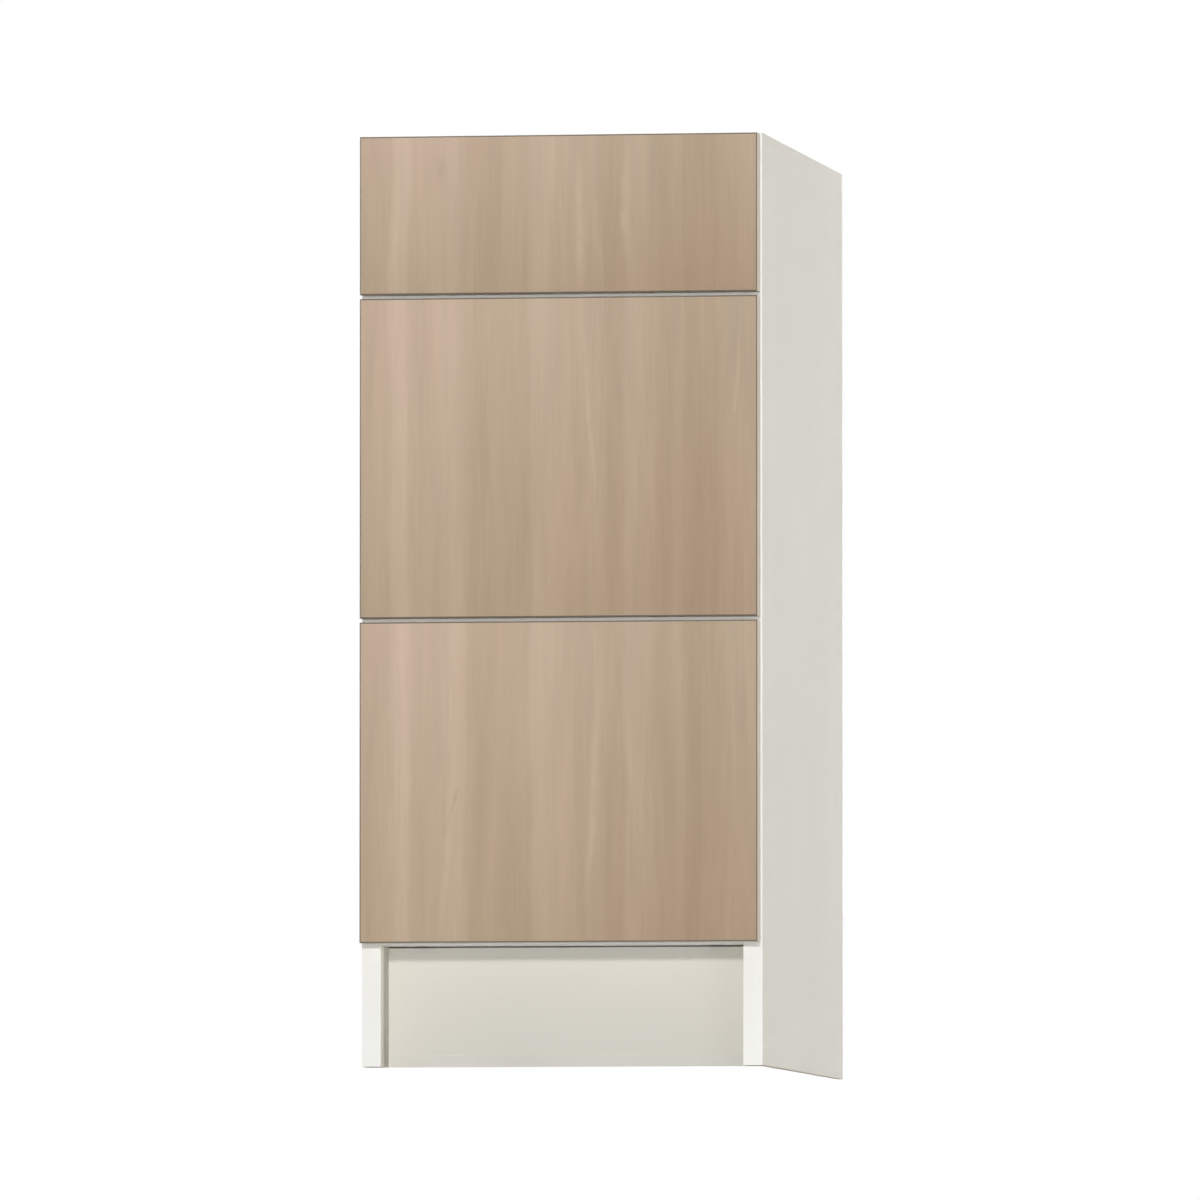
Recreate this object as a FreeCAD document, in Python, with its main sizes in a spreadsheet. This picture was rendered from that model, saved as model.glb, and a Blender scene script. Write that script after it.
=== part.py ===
"""Drawer base cabinet: a carcass on full-height gables, three handleless drawers on telescopic runners.

Frame: millimetres, +Z up, the fronts face -Y, origin at the centre of the footprint on the floor.
Within a drawer bay, u is the distance inward from a gable's inner face and v the height above the runner.
"""

import FreeCAD, Part
import math
import os
from types import SimpleNamespace
from typing import NamedTuple

import Sketcher

SIZES = [
    # carcass
    ("cabinet_width", 400.0, "over the two gables"),
    ("gable_depth", 560.0, "front edge to rear edge"),
    ("gable_thickness", 19.0, "board"),
    ("bottom_thickness", 16.0, "board under the lowest drawer"),
    ("rail_thickness", 16.0, "flat rails that carry the worktop"),
    ("rail_depth", 100.0, "their width, front to back"),
    ("cross_thickness", 19.0, "rail behind each joint between fronts"),
    ("cross_depth", 60.0, "its width, front to back"),
    ("back_thickness", 8.0, "back panel"),
    ("back_inset", 20.0, "gables' rear edge to the back panel"),
    ("groove_depth", 8.5, "groove in each gable for the back panel"),
    ("groove_play", 0.2, "back panel in its groove, in thickness"),
    ("panel_play", 0.5, "back panel to the bottom of its groove"),
    ("carcass_edging", 1.0, "plastic strip on the boards' front edges"),
    ("carcass_chamfer", 0.4, "chamfer along that strip"),
    # plinth
    ("plinth_height", 120.0, "floor to the underside of the bottom"),
    ("plinth_thickness", 16.0, "board"),
    ("plinth_recess", 50.0, "behind the gables' front edges"),
    ("plinth_play", 1.5, "between plinth and bottom"),
    ("seal_wall", 1.0, "clip-on seal along the plinth's lower edge"),
    ("seal_height", 12.0, "its side walls"),
    ("tie_lift", 20.0, "rail across the back above the floor"),
    ("tie_thickness", 16.0, "its board"),
    # fronts
    ("lower_module", 320.0, "height taken by the lower drawer"),
    ("centre_module", 320.0, "height taken by the centre drawer"),
    ("upper_module", 160.0, "height taken by the upper drawer"),
    ("front_thickness", 19.0, "front board"),
    ("press_gap", 3.0, "front to carcass, room to press the front in"),
    ("front_margin", 1.5, "gable's outer face to the front's edge"),
    ("end_margin", 1.5, "top and bottom of the stack of fronts"),
    ("front_joint", 4.0, "between two fronts"),
    ("front_edging", 1.3, "plastic strip round each front"),
    ("edging_chamfer", 0.5, "chamfer along that strip"),
    # runners
    ("runner_lift", 20.0, "runner above its module line"),
    ("runner_setback", 2.0, "runner behind the carcass's front edge"),
    ("rear_room", 30.0, "runner to the back panel"),
    ("runner_steel", 1.5, "cabinet rail's sheet"),
    ("flange_height", 46.0, "its wall against the gable"),
    ("channel_width", 23.0, "its channel"),
    ("lip_reach", 8.0, "its turned-in lip"),
    ("lug_width", 21.0, "latch lug beside the rear of the cabinet rail"),
    ("lug_height", 20.0, "its upright"),
    ("lug_foot", 22.0, "its foot, front to back"),
    ("flank_play", 1.0, "beside the rails that run in the channel"),
    ("slide_play", 0.3, "running play above and below them"),
    ("carrier_setback", 4.0, "middle rail behind the carcass's front edge"),
    ("carrier_short", 103.0, "middle rail ends before the cabinet rail"),
    ("carrier_steel", 1.5, "its sheet"),
    ("carrier_height", 20.7, "its section"),
    ("head_play", 0.5, "its upper flange inside the drawer rail"),
    ("slide_rail_steel", 1.5, "drawer rail's sheet"),
    ("slide_rail_short", 8.0, "drawer rail ends before the drawer's side"),
    ("hook_reach", 4.0, "its turned-in hooks"),
    # drawer boxes
    ("drawer_short", 15.0, "drawer's side ends before the runner"),
    ("side_offset", 5.0, "gable to the steel side"),
    ("side_width", 16.0, "double-walled steel side"),
    ("side_headroom", 13.8, "upper drawer's side to the top rails"),
    ("side_steel", 1.5, "its sheet"),
    ("side_round", 3.0, "its rounded top edges"),
    ("ledge_reach", 12.0, "inward ledge that carries the base"),
    ("base_thickness", 16.0, "drawer base board"),
    ("board_play", 0.3, "drawer boards between the sides"),
    ("rear_thickness", 16.0, "drawer back board"),
    ("back_drop", 6.5, "upper drawer's back board below its side"),
    ("deep_headroom", 96.8, "deep drawers' back boards to the rail above"),
    ("front_plate", 2.0, "bracket sheet behind the front"),
    ("front_tongue", 40.0, "bracket tongue inside the steel side"),
    ("rear_plate", 1.5, "bracket sheet behind the back board"),
    ("rear_tongue", 24.0, "its tongue inside the steel side"),
    ("rear_wing", 24.0, "its wing behind the back board"),
    ("tongue_inset", 4.0, "tongues below the top of the side"),
    ("gallery_width", 10.0, "gallery tube"),
    ("gallery_height", 20.0, "gallery tube"),
    ("gallery_wall", 1.2, "gallery tube"),
    ("gallery_chamfer", 1.4, "gallery tube's corners"),
    ("plug_length", 20.0, "bracket plug inside the gallery tube"),
    ("plug_play", 0.2, "round that plug"),
    ("holder_margin", 2.0, "holder's plate round the gallery tube"),
    ("latch_width", 20.0, "push latch under the base"),
    ("latch_length", 60.0, "push latch"),
    ("latch_height", 14.0, "push latch"),
    ("latch_chamfer", 3.0, "push latch's corners"),
    ("latch_gap", 3.3, "push latch to its lug"),
    ("latch_inset", 1.5, "push latch and lug beside ledge and channel"),
    # levelling feet
    ("foot_radius", 20.0, "foot disc"),
    ("foot_height", 8.0, "foot disc"),
    ("foot_gap", 4.0, "foot disc to the gable"),
    ("nut_radius", 8.0, "hexagon that the foot is turned by, over its corners"),
    ("nut_height", 6.0, "that hexagon"),
    ("nut_clear", 2.0, "hexagon to the bracket"),
    ("spindle_radius", 5.0, "screw spindle"),
    ("spindle_clear", 28.0, "its top below the bottom board"),
    ("spindle_play", 0.05, "spindle in its boss"),
    ("boss_radius", 13.0, "boss that holds the spindle"),
    ("boss_height", 40.0, "boss"),
    ("boss_chamfer", 7.6, "corners of the boss's free end"),
    ("bracket_clear", 2.0, "bracket to the plinth's seal or the rear rail"),
    ("pad_plate", 4.0, "bracket plate against the gable"),
    ("pad_depth", 50.0, "that plate, front to back"),
    ("pad_rise", 26.0, "that plate above the boss"),
    # fasteners
    ("screw_edge", 9.0, "runner screws below the rail's upper edge"),
    ("screw_front", 37.0, "first runner screw behind the carcass's front edge"),
    ("screw_rear", 49.0, "last runner screw before the runner's rear end"),
    ("screw_radius", 2.4, "runner screw"),
    ("screw_depth", 12.0, "runner screw in the gable"),
    ("screw_head", 4.0, "head's radius"),
    ("head_height", 2.0, "head's height"),
    ("screw_play", 0.1, "round a screw in the gable"),
    ("rail_hole_play", 0.4, "round a screw in the rail"),
    ("cam_radius", 7.5, "cam housing"),
    ("cam_height", 12.5, "cam housing"),
    ("cam_setback", 34.0, "gable to the cam's centre"),
    ("cam_inset", 45.0, "the bottom's cams from its front and rear edges"),
    ("bolt_radius", 3.0, "cam bolt"),
    ("bolt_depth", 11.0, "cam bolt in the gable"),
    ("dowel_radius", 4.0, "fluted dowel"),
    ("dowel_length", 30.0, "fluted dowel"),
    ("dowel_depth", 11.0, "dowel in the gable"),
    ("joint_play", 0.1, "round a cam, a bolt or a dowel"),
    ("worktop_hole", 2.5, "radius of the worktop screw holes"),
    ("worktop_pitch", 256.0, "between them, side to side"),
]

# Where along a board's end its fasteners sit.
PAIR_SHARES = (0.25, 0.75)
CAM_SHARE, DOWEL_SHARE = 0.3, 0.7
# Height of the gallery rail between the side's top and the back board's top.
GALLERY_SHARE = 0.7
# Sides of a dowel, a thread or a bore that nothing shows, of a cam, a spindle or a disc, and of the foot's hexagon.
FLUTES = 12
ROUND_FLATS = 24
NUT_FLATS = 6
SIDES = {"left": -1, "right": 1}
ROLES = {"XY": "XY_Plane", "XZ": "XZ_Plane", "YZ": "YZ_Plane"}
ACROSS = FreeCAD.Rotation(FreeCAD.Vector(0, 1, 0), 90)


class Size:
    """A length: its number, and the sheet formula that gives it."""

    def __init__(self, number, formula):
        self.number = float(number)
        self.formula = formula

    def __add__(self, other):
        return Size(self.number + other.number, f"({self.formula} + {other.formula})")

    def __sub__(self, other):
        return Size(self.number - other.number, f"({self.formula} - {other.formula})")

    def __mul__(self, factor):
        return Size(self.number * factor, f"({self.formula} * {factor:g})")

    def __truediv__(self, divisor):
        return Size(self.number / divisor, f"({self.formula} / {divisor:g})")

    def __neg__(self):
        return self * -1


class Edge(NamedTuple):
    """A line or arc of an outline. begin and finish are the sketcher's numbers for its ends."""

    shape: object
    begin: int
    finish: int
    start: tuple
    end: tuple
    radius: object = None


ZERO = Size(0, "0")
doc = FreeCAD.newDocument("drawer_base_cabinet")
sheet = doc.addObject("Spreadsheet::Sheet", "Sizes")
for row, (alias, value, meaning) in enumerate(SIZES, start=1):
    sheet.set(f"A{row}", meaning)
    sheet.set(f"B{row}", str(value))
    sheet.setAlias(f"B{row}", alias)
doc.recompute()
s = SimpleNamespace(**{alias: Size(value, f"Sizes.{alias}") for alias, value, _ in SIZES})
nodes = {}

# Places across the cabinet.
half_out = s.cabinet_width / 2
half_in = half_out - s.gable_thickness
half_front = half_out - s.front_margin
inner_width = half_in * 2

# Places from front to rear.
y_face = (s.front_thickness + s.press_gap + s.gable_depth) / -2
y_front_back = y_face + s.front_thickness
y_edge = y_front_back + s.press_gap
y_board = y_edge + s.carcass_edging
y_rear = y_edge + s.gable_depth
y_panel = y_rear - s.back_inset - s.back_thickness
y_rear_rail = y_panel - s.rail_depth
y_plinth = y_edge + s.plinth_recess
y_tie = y_panel - s.tie_thickness
y_runner = y_edge + s.runner_setback
y_runner_end = y_panel - s.rear_room
y_carrier = y_edge + s.carrier_setback
y_side = y_front_back + s.front_plate
y_side_end = y_runner_end - s.drawer_short
y_screws = (y_edge + s.screw_front, y_runner_end - s.screw_rear)

# Heights from the floor.
z_bottom = s.plinth_height
z_low_joint = z_bottom + s.lower_module
z_high_joint = z_low_joint + s.centre_module
z_top = z_high_joint + s.upper_module
z_rail = z_top - s.rail_thickness
z_boss = s.foot_height + s.nut_height + s.nut_clear

# Heights within a runner and its drawer, from the runner's underside.
v_screw = s.flange_height - s.screw_edge
v_foot_low = s.runner_steel + s.slide_play
v_foot_high = v_foot_low + s.carrier_steel
v_lip = v_foot_high + s.slide_play
v_head_high = v_foot_low + s.carrier_height
v_head_low = v_head_high - s.carrier_steel
v_hook = v_head_low - s.slide_play
v_cap = v_head_high + s.slide_play
v_deck = v_cap + s.slide_rail_steel
v_ledge = v_deck + s.side_steel
v_base_top = v_ledge + s.base_thickness
v_side_top = s.upper_module - s.runner_lift - s.rail_thickness - s.side_headroom
v_tongue_top = v_side_top - s.tongue_inset

# Widths within a runner and its drawer, inward from the gable.
rail_width = s.channel_width - (s.runner_steel + s.flank_play) * 2
u_rails = s.channel_width / 2
u_inner = s.side_offset + s.side_width
u_board = u_inner + s.board_play
u_gallery = s.side_offset + s.side_width / 2
u_foot = s.foot_gap + s.foot_radius


def make_bay(floor, module, front_low, front_high, deep):
    """The places that differ from drawer to drawer."""
    headroom = s.cross_thickness / 2 + s.deep_headroom
    back_top = module - s.runner_lift - headroom if deep else v_side_top - s.back_drop
    gallery = v_side_top + (back_top - v_side_top) * GALLERY_SHARE
    return SimpleNamespace(
        runner=floor + s.runner_lift,
        front_low=front_low,
        front_high=front_high,
        deep=deep,
        back_top=back_top,
        gallery=gallery,
    )


half_joint = s.front_joint / 2
BAYS = {
    "upper": make_bay(
        z_high_joint, s.upper_module, z_high_joint + half_joint, z_top - s.end_margin, deep=False
    ),
    "centre": make_bay(
        z_low_joint, s.centre_module, z_low_joint + half_joint, z_high_joint - half_joint, deep=True
    ),
    "lower": make_bay(
        z_bottom, s.lower_module, z_bottom + s.end_margin, z_low_joint - half_joint, deep=True
    ),
}

# Y and Z of the cams and dowels in each board's ends, and the underside that its cams are let into.
z_plinth = s.seal_wall
plinth_span = z_bottom - s.plinth_play - z_plinth
tie_span = z_bottom - s.tie_lift


def flat_rail_joint(y_low):
    """Top rail: one cam and one dowel in each end."""
    z = z_rail + s.rail_thickness / 2
    return SimpleNamespace(
        underside=z_rail,
        cams=[(y_low + s.rail_depth * CAM_SHARE, z)],
        dowels=[(y_low + s.rail_depth * DOWEL_SHARE, z)],
    )


def dowel_joint(dowels):
    """Board that only dowels hold."""
    return SimpleNamespace(underside=ZERO, cams=[], dowels=dowels)


z_bottom_middle = z_bottom + s.bottom_thickness / 2
JOINTS = {
    "bottom_panel": SimpleNamespace(
        underside=z_bottom,
        cams=[(y_board + s.cam_inset, z_bottom_middle), (y_panel - s.cam_inset, z_bottom_middle)],
        dowels=[((y_board + y_panel) / 2, z_bottom_middle)],
    ),
    "front_top_rail": flat_rail_joint(y_board),
    "rear_top_rail": flat_rail_joint(y_rear_rail),
    "high_cross_rail": dowel_joint([(y_board + s.cross_depth * a, z_high_joint) for a in PAIR_SHARES]),
    "low_cross_rail": dowel_joint([(y_board + s.cross_depth * a, z_low_joint) for a in PAIR_SHARES]),
    "plinth_board": dowel_joint(
        [(y_plinth + s.plinth_thickness / 2, z_plinth + plinth_span * a) for a in PAIR_SHARES]
    ),
    "rear_tie_rail": dowel_joint(
        [(y_tie + s.tie_thickness / 2, s.tie_lift + tie_span * a) for a in PAIR_SHARES]
    ),
}


def keep(name, piece):
    """Makes the piece a node of that name."""
    piece.Label = name
    nodes[name] = piece


def place(piece, x=ZERO, y=ZERO, z=ZERO):
    """Ties the piece's position to the sheet."""
    for axis, where in (("x", x), ("y", y), ("z", z)):
        if where is not ZERO:
            piece.setExpression(f"Placement.Base.{axis}", where.formula)
    return piece


def across(side, u):
    """X of a point u inward of that side's gable."""
    return u - half_in if side < 0 else half_in - u


def low_end(side, near, far):
    """Lower X of a stretch from near to far inward of that side's gable."""
    return across(side, near if side < 0 else far)


def inward(side):
    """Turns a distance inward into a local X of a body that starts at that side's gable."""
    return lambda u: u * -side


def box(name, x, y, z, width, depth, height):
    """Rectangular block from its lowest corner."""
    block = doc.addObject("Part::Box", name)
    block.setExpression("Length", width.formula)
    block.setExpression("Width", depth.formula)
    block.setExpression("Height", height.formula)
    return place(block, x, y, z)


def rod(name, radius, length, x, y, z):
    """Upright round bar that starts at the point."""
    bar = doc.addObject("Part::Cylinder", name)
    bar.setExpression("Radius", radius.formula)
    bar.setExpression("Height", length.formula)
    return place(bar, x, y, z)


def prism(name, flats, radius, length, x, y, z):
    """Upright bar with flat sides that starts at the point."""
    bar = doc.addObject("Part::Prism", name)
    bar.Polygon = flats
    bar.setExpression("Circumradius", radius.formula)
    bar.setExpression("Height", length.formula)
    return place(bar, x, y, z)


def fluted(name, radius, length, x, y, z):
    """Bar for a dowel, a thread or its bore; starts at the point and runs along +X."""
    bar = prism(name, FLUTES, radius, length, ZERO, ZERO, ZERO)
    bar.Placement = FreeCAD.Placement(FreeCAD.Vector(), ACROSS)
    return place(bar, x, y, z)


def group(name, pieces):
    """Several separate solids under one name."""
    bundle = doc.addObject("Part::Compound", name)
    bundle.Links = pieces
    return bundle


def fuse(name, pieces):
    """One solid from several that meet."""
    joined = doc.addObject("Part::MultiFuse", name)
    joined.Shapes = pieces
    return joined


def cut(name, base, tools):
    """The base less every tool."""
    rest = doc.addObject("Part::Cut", name)
    rest.Base = base
    rest.Tool = fuse(name + "_cutters", tools)
    return rest


def new_body(name):
    return doc.addObject("PartDesign::Body", name)


def new_sketch(body, name, plane):
    """Sketch on one of the body's own origin planes."""
    flat = next(o for o in body.Origin.OriginFeatures if o.Role == ROLES[plane])
    sketch = body.newObject("Sketcher::SketchObject", name)
    sketch.AttachmentSupport = (flat, [""])
    sketch.MapMode = "FlatFace"
    return sketch


def tie(sketch, kind, element, point, size, name):
    """Ties a point's distance from the sketch origin, or a radius, to the sheet."""
    reference = (element,) if kind == "Radius" else (-1, 1, element, point)
    index = sketch.addConstraint(Sketcher.Constraint(kind, *reference, size.number))
    sketch.renameConstraint(index, name)
    if size is not ZERO:
        sketch.setExpression(f"Constraints.{name}", size.formula)


def vector(point):
    return FreeCAD.Vector(point[0].number, point[1].number, 0)


def heading(start, end):
    """Direction from one corner to the next, as two signs."""
    run = (end[0].number - start[0].number, end[1].number - start[1].number)
    return tuple((value > 0) - (value < 0) for value in run)


def round_corner(before, corner, after):
    """Where a line ends, where the next one starts, and the arc between them."""
    a, b, radius = corner
    come, go = heading(before, corner), heading(corner, after)
    arrive = (a - radius * come[0], b - radius * come[1])
    leave = (a + radius * go[0], b + radius * go[1])
    centre = (arrive[0] + radius * go[0], arrive[1] + radius * go[1])
    circle = Part.Circle(vector(centre), FreeCAD.Vector(0, 0, 1), radius.number)
    left_turn = come[0] * go[1] > come[1] * go[0]
    ends = (arrive, leave) if left_turn else (leave, arrive)
    shape = Part.ArcOfCircle(circle, *(circle.parameter(vector(end)) for end in ends))
    begin, finish = (1, 2) if left_turn else (2, 1)
    return arrive, leave, Edge(shape, begin, finish, arrive, leave, radius)


def draw_outline(sketch, corners):
    """Closed outline. A corner is (a, b), or (a, b, radius) where two square edges meet in an arc."""
    count = len(corners)
    stations = []
    for index, corner in enumerate(corners):
        if len(corner) == 3:
            stations.append(round_corner(corners[index - 1], corner, corners[(index + 1) % count]))
        else:
            stations.append((corner, corner, None))
    edges = []
    for index, (_, leave, _) in enumerate(stations):
        arrive, _, arc = stations[(index + 1) % count]
        edges.append(Edge(Part.LineSegment(vector(leave), vector(arrive)), 1, 2, leave, arrive))
        if arc:
            edges.append(arc)
    first = len(sketch.Geometry)
    sketch.addGeometry([edge.shape for edge in edges], False)
    for index, edge in enumerate(edges):
        onward = (index + 1) % len(edges)
        here, there = first + index, first + onward
        joint = Sketcher.Constraint("Coincident", here, edge.finish, there, edges[onward].begin)
        sketch.addConstraint(joint)
        if edge.radius:
            tie(sketch, "Radius", here, 0, edge.radius, f"r{here}")
            continue
        tie(sketch, "DistanceX", here, 1, edge.start[0], f"a{here}")
        tie(sketch, "DistanceY", here, 1, edge.start[1], f"b{here}")
        if edges[onward].radius:
            tie(sketch, "DistanceX", here, 2, edge.end[0], f"c{here}")
            tie(sketch, "DistanceY", here, 2, edge.end[1], f"d{here}")


def pad(body, name, plane, outlines, length, backward=False):
    """Adds an outline, less any further ones inside it, drawn out along the plane's normal."""
    sketch = new_sketch(body, name + "_sketch", plane)
    for outline in outlines:
        draw_outline(sketch, outline)
    feature = body.newObject("PartDesign::Pad", name)
    feature.Profile = sketch
    feature.setExpression("Length", length.formula)
    feature.Reversed = backward
    body.Tip = feature


def pocket(body, name, plane, outlines, depth, forward):
    """Cuts outlines to that depth, along the plane's normal if forward."""
    sketch = new_sketch(body, name + "_sketch", plane)
    for outline in outlines:
        draw_outline(sketch, outline)
    feature = body.newObject("PartDesign::Pocket", name)
    feature.Profile = sketch
    feature.setExpression("Length", depth.formula)
    feature.Reversed = forward
    body.Tip = feature


def many_sided(a, b, radius, count):
    """Outline of a regular polygon over its corners."""
    turns = [2 * math.pi * k / count for k in range(count)]
    return [(a + radius * math.cos(turn), b + radius * math.sin(turn)) for turn in turns]


def rectangle(a_low, a_high, b_low, b_high):
    return [(a_low, b_low), (a_high, b_low), (a_high, b_high), (a_low, b_high)]


def chamfered(outline, size, numbers):
    """Outline of square corners, with those of these numbers cut off aslant."""
    points = []
    for number, corner in enumerate(outline):
        if number not in numbers:
            points.append(corner)
            continue
        come = heading(outline[number - 1], corner)
        go = heading(corner, outline[(number + 1) % len(outline)])
        points.append(tuple(at - size * sign for at, sign in zip(corner, come)))
        points.append(tuple(at + size * sign for at, sign in zip(corner, go)))
    return points


def make_gables():
    """Side boards down to the floor, grooved for the back, bored for screws, bolts and dowels."""
    runner_places = [(y, bay.runner + v_screw) for bay in BAYS.values() for y in y_screws]
    bolt_places = [spot for joint in JOINTS.values() for spot in joint.cams]
    dowel_places = [spot for joint in JOINTS.values() for spot in joint.dowels]
    holes = (
        ("screw", runner_places, s.screw_radius + s.screw_play, s.screw_depth + s.screw_play),
        ("bolt", bolt_places, s.bolt_radius + s.joint_play, s.bolt_depth + s.joint_play),
        ("dowel", dowel_places, s.dowel_radius + s.joint_play, s.dowel_depth + s.joint_play),
    )
    half_play = s.groove_play / 2
    groove_front = y_panel - y_board - half_play
    groove_rear = y_panel - y_board + s.back_thickness + half_play
    for label, side in SIDES.items():
        board = new_body(f"{label}_gable_board")
        left = side < 0
        outline = rectangle(ZERO, y_rear - y_board, ZERO, z_top)
        pad(board, f"{label}_panel", "YZ", [outline], s.gable_thickness, backward=left)
        groove = rectangle(groove_front, groove_rear, z_bottom, z_top)
        pocket(board, f"{label}_groove", "YZ", [groove], s.groove_depth, not left)
        place(board, across(side, ZERO), y_board)
        bores = [
            fluted(f"{label}_{kind}_hole_{k}", radius, depth, low_end(side, -depth, ZERO), y, z)
            for kind, places, radius, depth in holes
            for k, (y, z) in enumerate(places)
        ]
        keep(f"{label}_gable", cut(f"{label}_gable", board, bores))


def joint_bores(name):
    """What a board's ends lose to its cams, bolts and dowels."""
    joint = JOINTS[name]
    cam_radius, cam_height = s.cam_radius + s.joint_play, s.cam_height + s.joint_play
    bolt_radius, dowel_radius = s.bolt_radius + s.joint_play, s.dowel_radius + s.joint_play
    dowel_reach = s.dowel_length - s.dowel_depth + s.joint_play
    bores = []
    for label, side in SIDES.items():
        tag = f"{name}_{label}"
        for k, (y, z) in enumerate(joint.cams):
            x, x_bore = across(side, s.cam_setback), low_end(side, ZERO, s.cam_setback)
            pocket_name = f"{tag}_cam_pocket_{k}"
            bores.append(prism(pocket_name, ROUND_FLATS, cam_radius, cam_height, x, y, joint.underside))
            bores.append(fluted(f"{tag}_bolt_bore_{k}", bolt_radius, s.cam_setback, x_bore, y, z))
        for k, (y, z) in enumerate(joint.dowels):
            x = low_end(side, ZERO, dowel_reach)
            bores.append(fluted(f"{tag}_dowel_bore_{k}", dowel_radius, dowel_reach, x, y, z))
    return bores


def bored_board(name, y, z, depth, height, holes=()):
    """Board from gable to gable, bored for its fasteners and any further holes."""
    blank = box(name + "_blank", -half_in, y, z, inner_width, depth, height)
    return cut(name, blank, joint_bores(name) + list(holes))


def worktop_holes(name, y):
    """Two holes through a top rail for the worktop's screws."""
    y_middle = y + s.rail_depth / 2
    return [
        rod(
            f"{name}_{label}_hole",
            s.worktop_hole,
            s.rail_thickness,
            s.worktop_pitch / 2 * side,
            y_middle,
            z_rail,
        )
        for label, side in SIDES.items()
    ]


def make_carcass_boards():
    """Bottom, top rails, cross rails, back panel, plinth and the rail across the rear."""
    board_depth = y_panel - y_board
    keep("bottom_panel", bored_board("bottom_panel", y_board, z_bottom, board_depth, s.bottom_thickness))
    for name, y in (("front_top_rail", y_board), ("rear_top_rail", y_rear_rail)):
        holes = worktop_holes(name, y)
        keep(name, bored_board(name, y, z_rail, s.rail_depth, s.rail_thickness, holes))

    crosses = []
    for name, level in (("high_cross_rail", z_high_joint), ("low_cross_rail", z_low_joint)):
        z = level - s.cross_thickness / 2
        crosses.append(bored_board(name, y_board, z, s.cross_depth, s.cross_thickness))
    keep("cross_rails", group("cross_rails", crosses))

    x_back = s.groove_depth - s.panel_play + half_in
    back = box("back_panel", -x_back, y_panel, z_bottom, x_back * 2, s.back_thickness, z_top - z_bottom)
    keep("back_panel", back)
    keep("plinth_board", bored_board("plinth_board", y_plinth, z_plinth, s.plinth_thickness, plinth_span))
    keep("rear_tie_rail", bored_board("rear_tie_rail", y_tie, s.tie_lift, s.tie_thickness, tie_span))


def make_plinth_seal():
    """Soft channel pushed onto the plinth's lower edge."""
    wall, thick = s.seal_wall, s.plinth_thickness
    seal = new_body("plinth_seal")
    profile = [
        (-wall, ZERO),
        (thick + wall, ZERO),
        (thick + wall, s.seal_height),
        (thick, s.seal_height),
        (thick, wall),
        (ZERO, wall),
        (ZERO, s.seal_height),
        (-wall, s.seal_height),
    ]
    pad(seal, "seal_channel", "YZ", [profile], inner_width)
    keep("plinth_seal", place(seal, -half_in, y_plinth))


def strip(name, plane, outline, length, x, y, z=ZERO):
    """Edge strip: its section drawn out by length."""
    body = new_body(name)
    pad(body, name + "_section", plane, [outline], length)
    return place(body, x, y, z)


def make_carcass_edging():
    """Strips on the front edges that show: gables, bottom, cross rails and front top rail."""
    edge, chamfer, thick = s.carcass_edging, s.carcass_chamfer, s.gable_thickness
    upright = chamfered(rectangle(ZERO, thick, ZERO, edge), chamfer, (0, 1))
    strips = [
        strip(f"{label}_gable_strip", "XY", upright, z_top, low_end(side, -thick, ZERO), y_edge)
        for label, side in SIDES.items()
    ]
    for name, z, height in (
        ("bottom_strip", z_bottom, s.bottom_thickness),
        ("rail_strip", z_rail, s.rail_thickness),
        ("low_cross_strip", z_low_joint - s.cross_thickness / 2, s.cross_thickness),
        ("high_cross_strip", z_high_joint - s.cross_thickness / 2, s.cross_thickness),
    ):
        lying = chamfered(rectangle(ZERO, edge, ZERO, height), chamfer, (0, 3))
        strips.append(strip(name, "YZ", lying, inner_width, -half_in, y_edge, z))
    keep("carcass_edging", group("carcass_edging", strips))


def make_cams():
    """Cam housings let into the boards' undersides, each with its bolt from the gable."""
    reach = s.cam_setback - s.cam_radius
    pieces = []
    for name, joint in JOINTS.items():
        for label, side in SIDES.items():
            x_cam, x_bolt = across(side, s.cam_setback), low_end(side, -s.bolt_depth, reach)
            for k, (y, z) in enumerate(joint.cams):
                tag = f"{name}_{label}_{k}"
                drum = prism(tag + "_cam", ROUND_FLATS, s.cam_radius, s.cam_height, x_cam, y, joint.underside)
                pieces.append(drum)
                pieces.append(fluted(tag + "_bolt", s.bolt_radius, s.bolt_depth + reach, x_bolt, y, z))
    keep("cam_fittings", group("cam_fittings", pieces))


def make_dowels():
    """Fluted beech dowels between the boards' ends and the gables."""
    dowels = []
    for name, joint in JOINTS.items():
        for label, side in SIDES.items():
            x = low_end(side, -s.dowel_depth, s.dowel_length - s.dowel_depth)
            for k, (y, z) in enumerate(joint.dowels):
                tag = f"{name}_{label}_dowel_{k}"
                dowels.append(fluted(tag, s.dowel_radius, s.dowel_length, x, y, z))
    keep("wood_dowels", group("wood_dowels", dowels))


def make_runner_screws():
    """Flat-headed screws through the cabinet rails into the gables."""
    shank_far = s.runner_steel
    head_far = s.runner_steel + s.head_height
    screws = []
    for bay_name, bay in BAYS.items():
        z = bay.runner + v_screw
        for label, side in SIDES.items():
            x_shank = low_end(side, -s.screw_depth, shank_far)
            x_head = low_end(side, shank_far, head_far)
            for k, y in enumerate(y_screws):
                tag = f"{bay_name}_{label}_screw_{k}"
                length = s.screw_depth + s.runner_steel
                shank = fluted(tag + "_shank", s.screw_radius, length, x_shank, y, z)
                head = fluted(tag + "_head", s.screw_head, s.head_height, x_head, y, z)
                screws.append(fuse(tag, [shank, head]))
    keep("runner_screws", group("runner_screws", screws))


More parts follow.
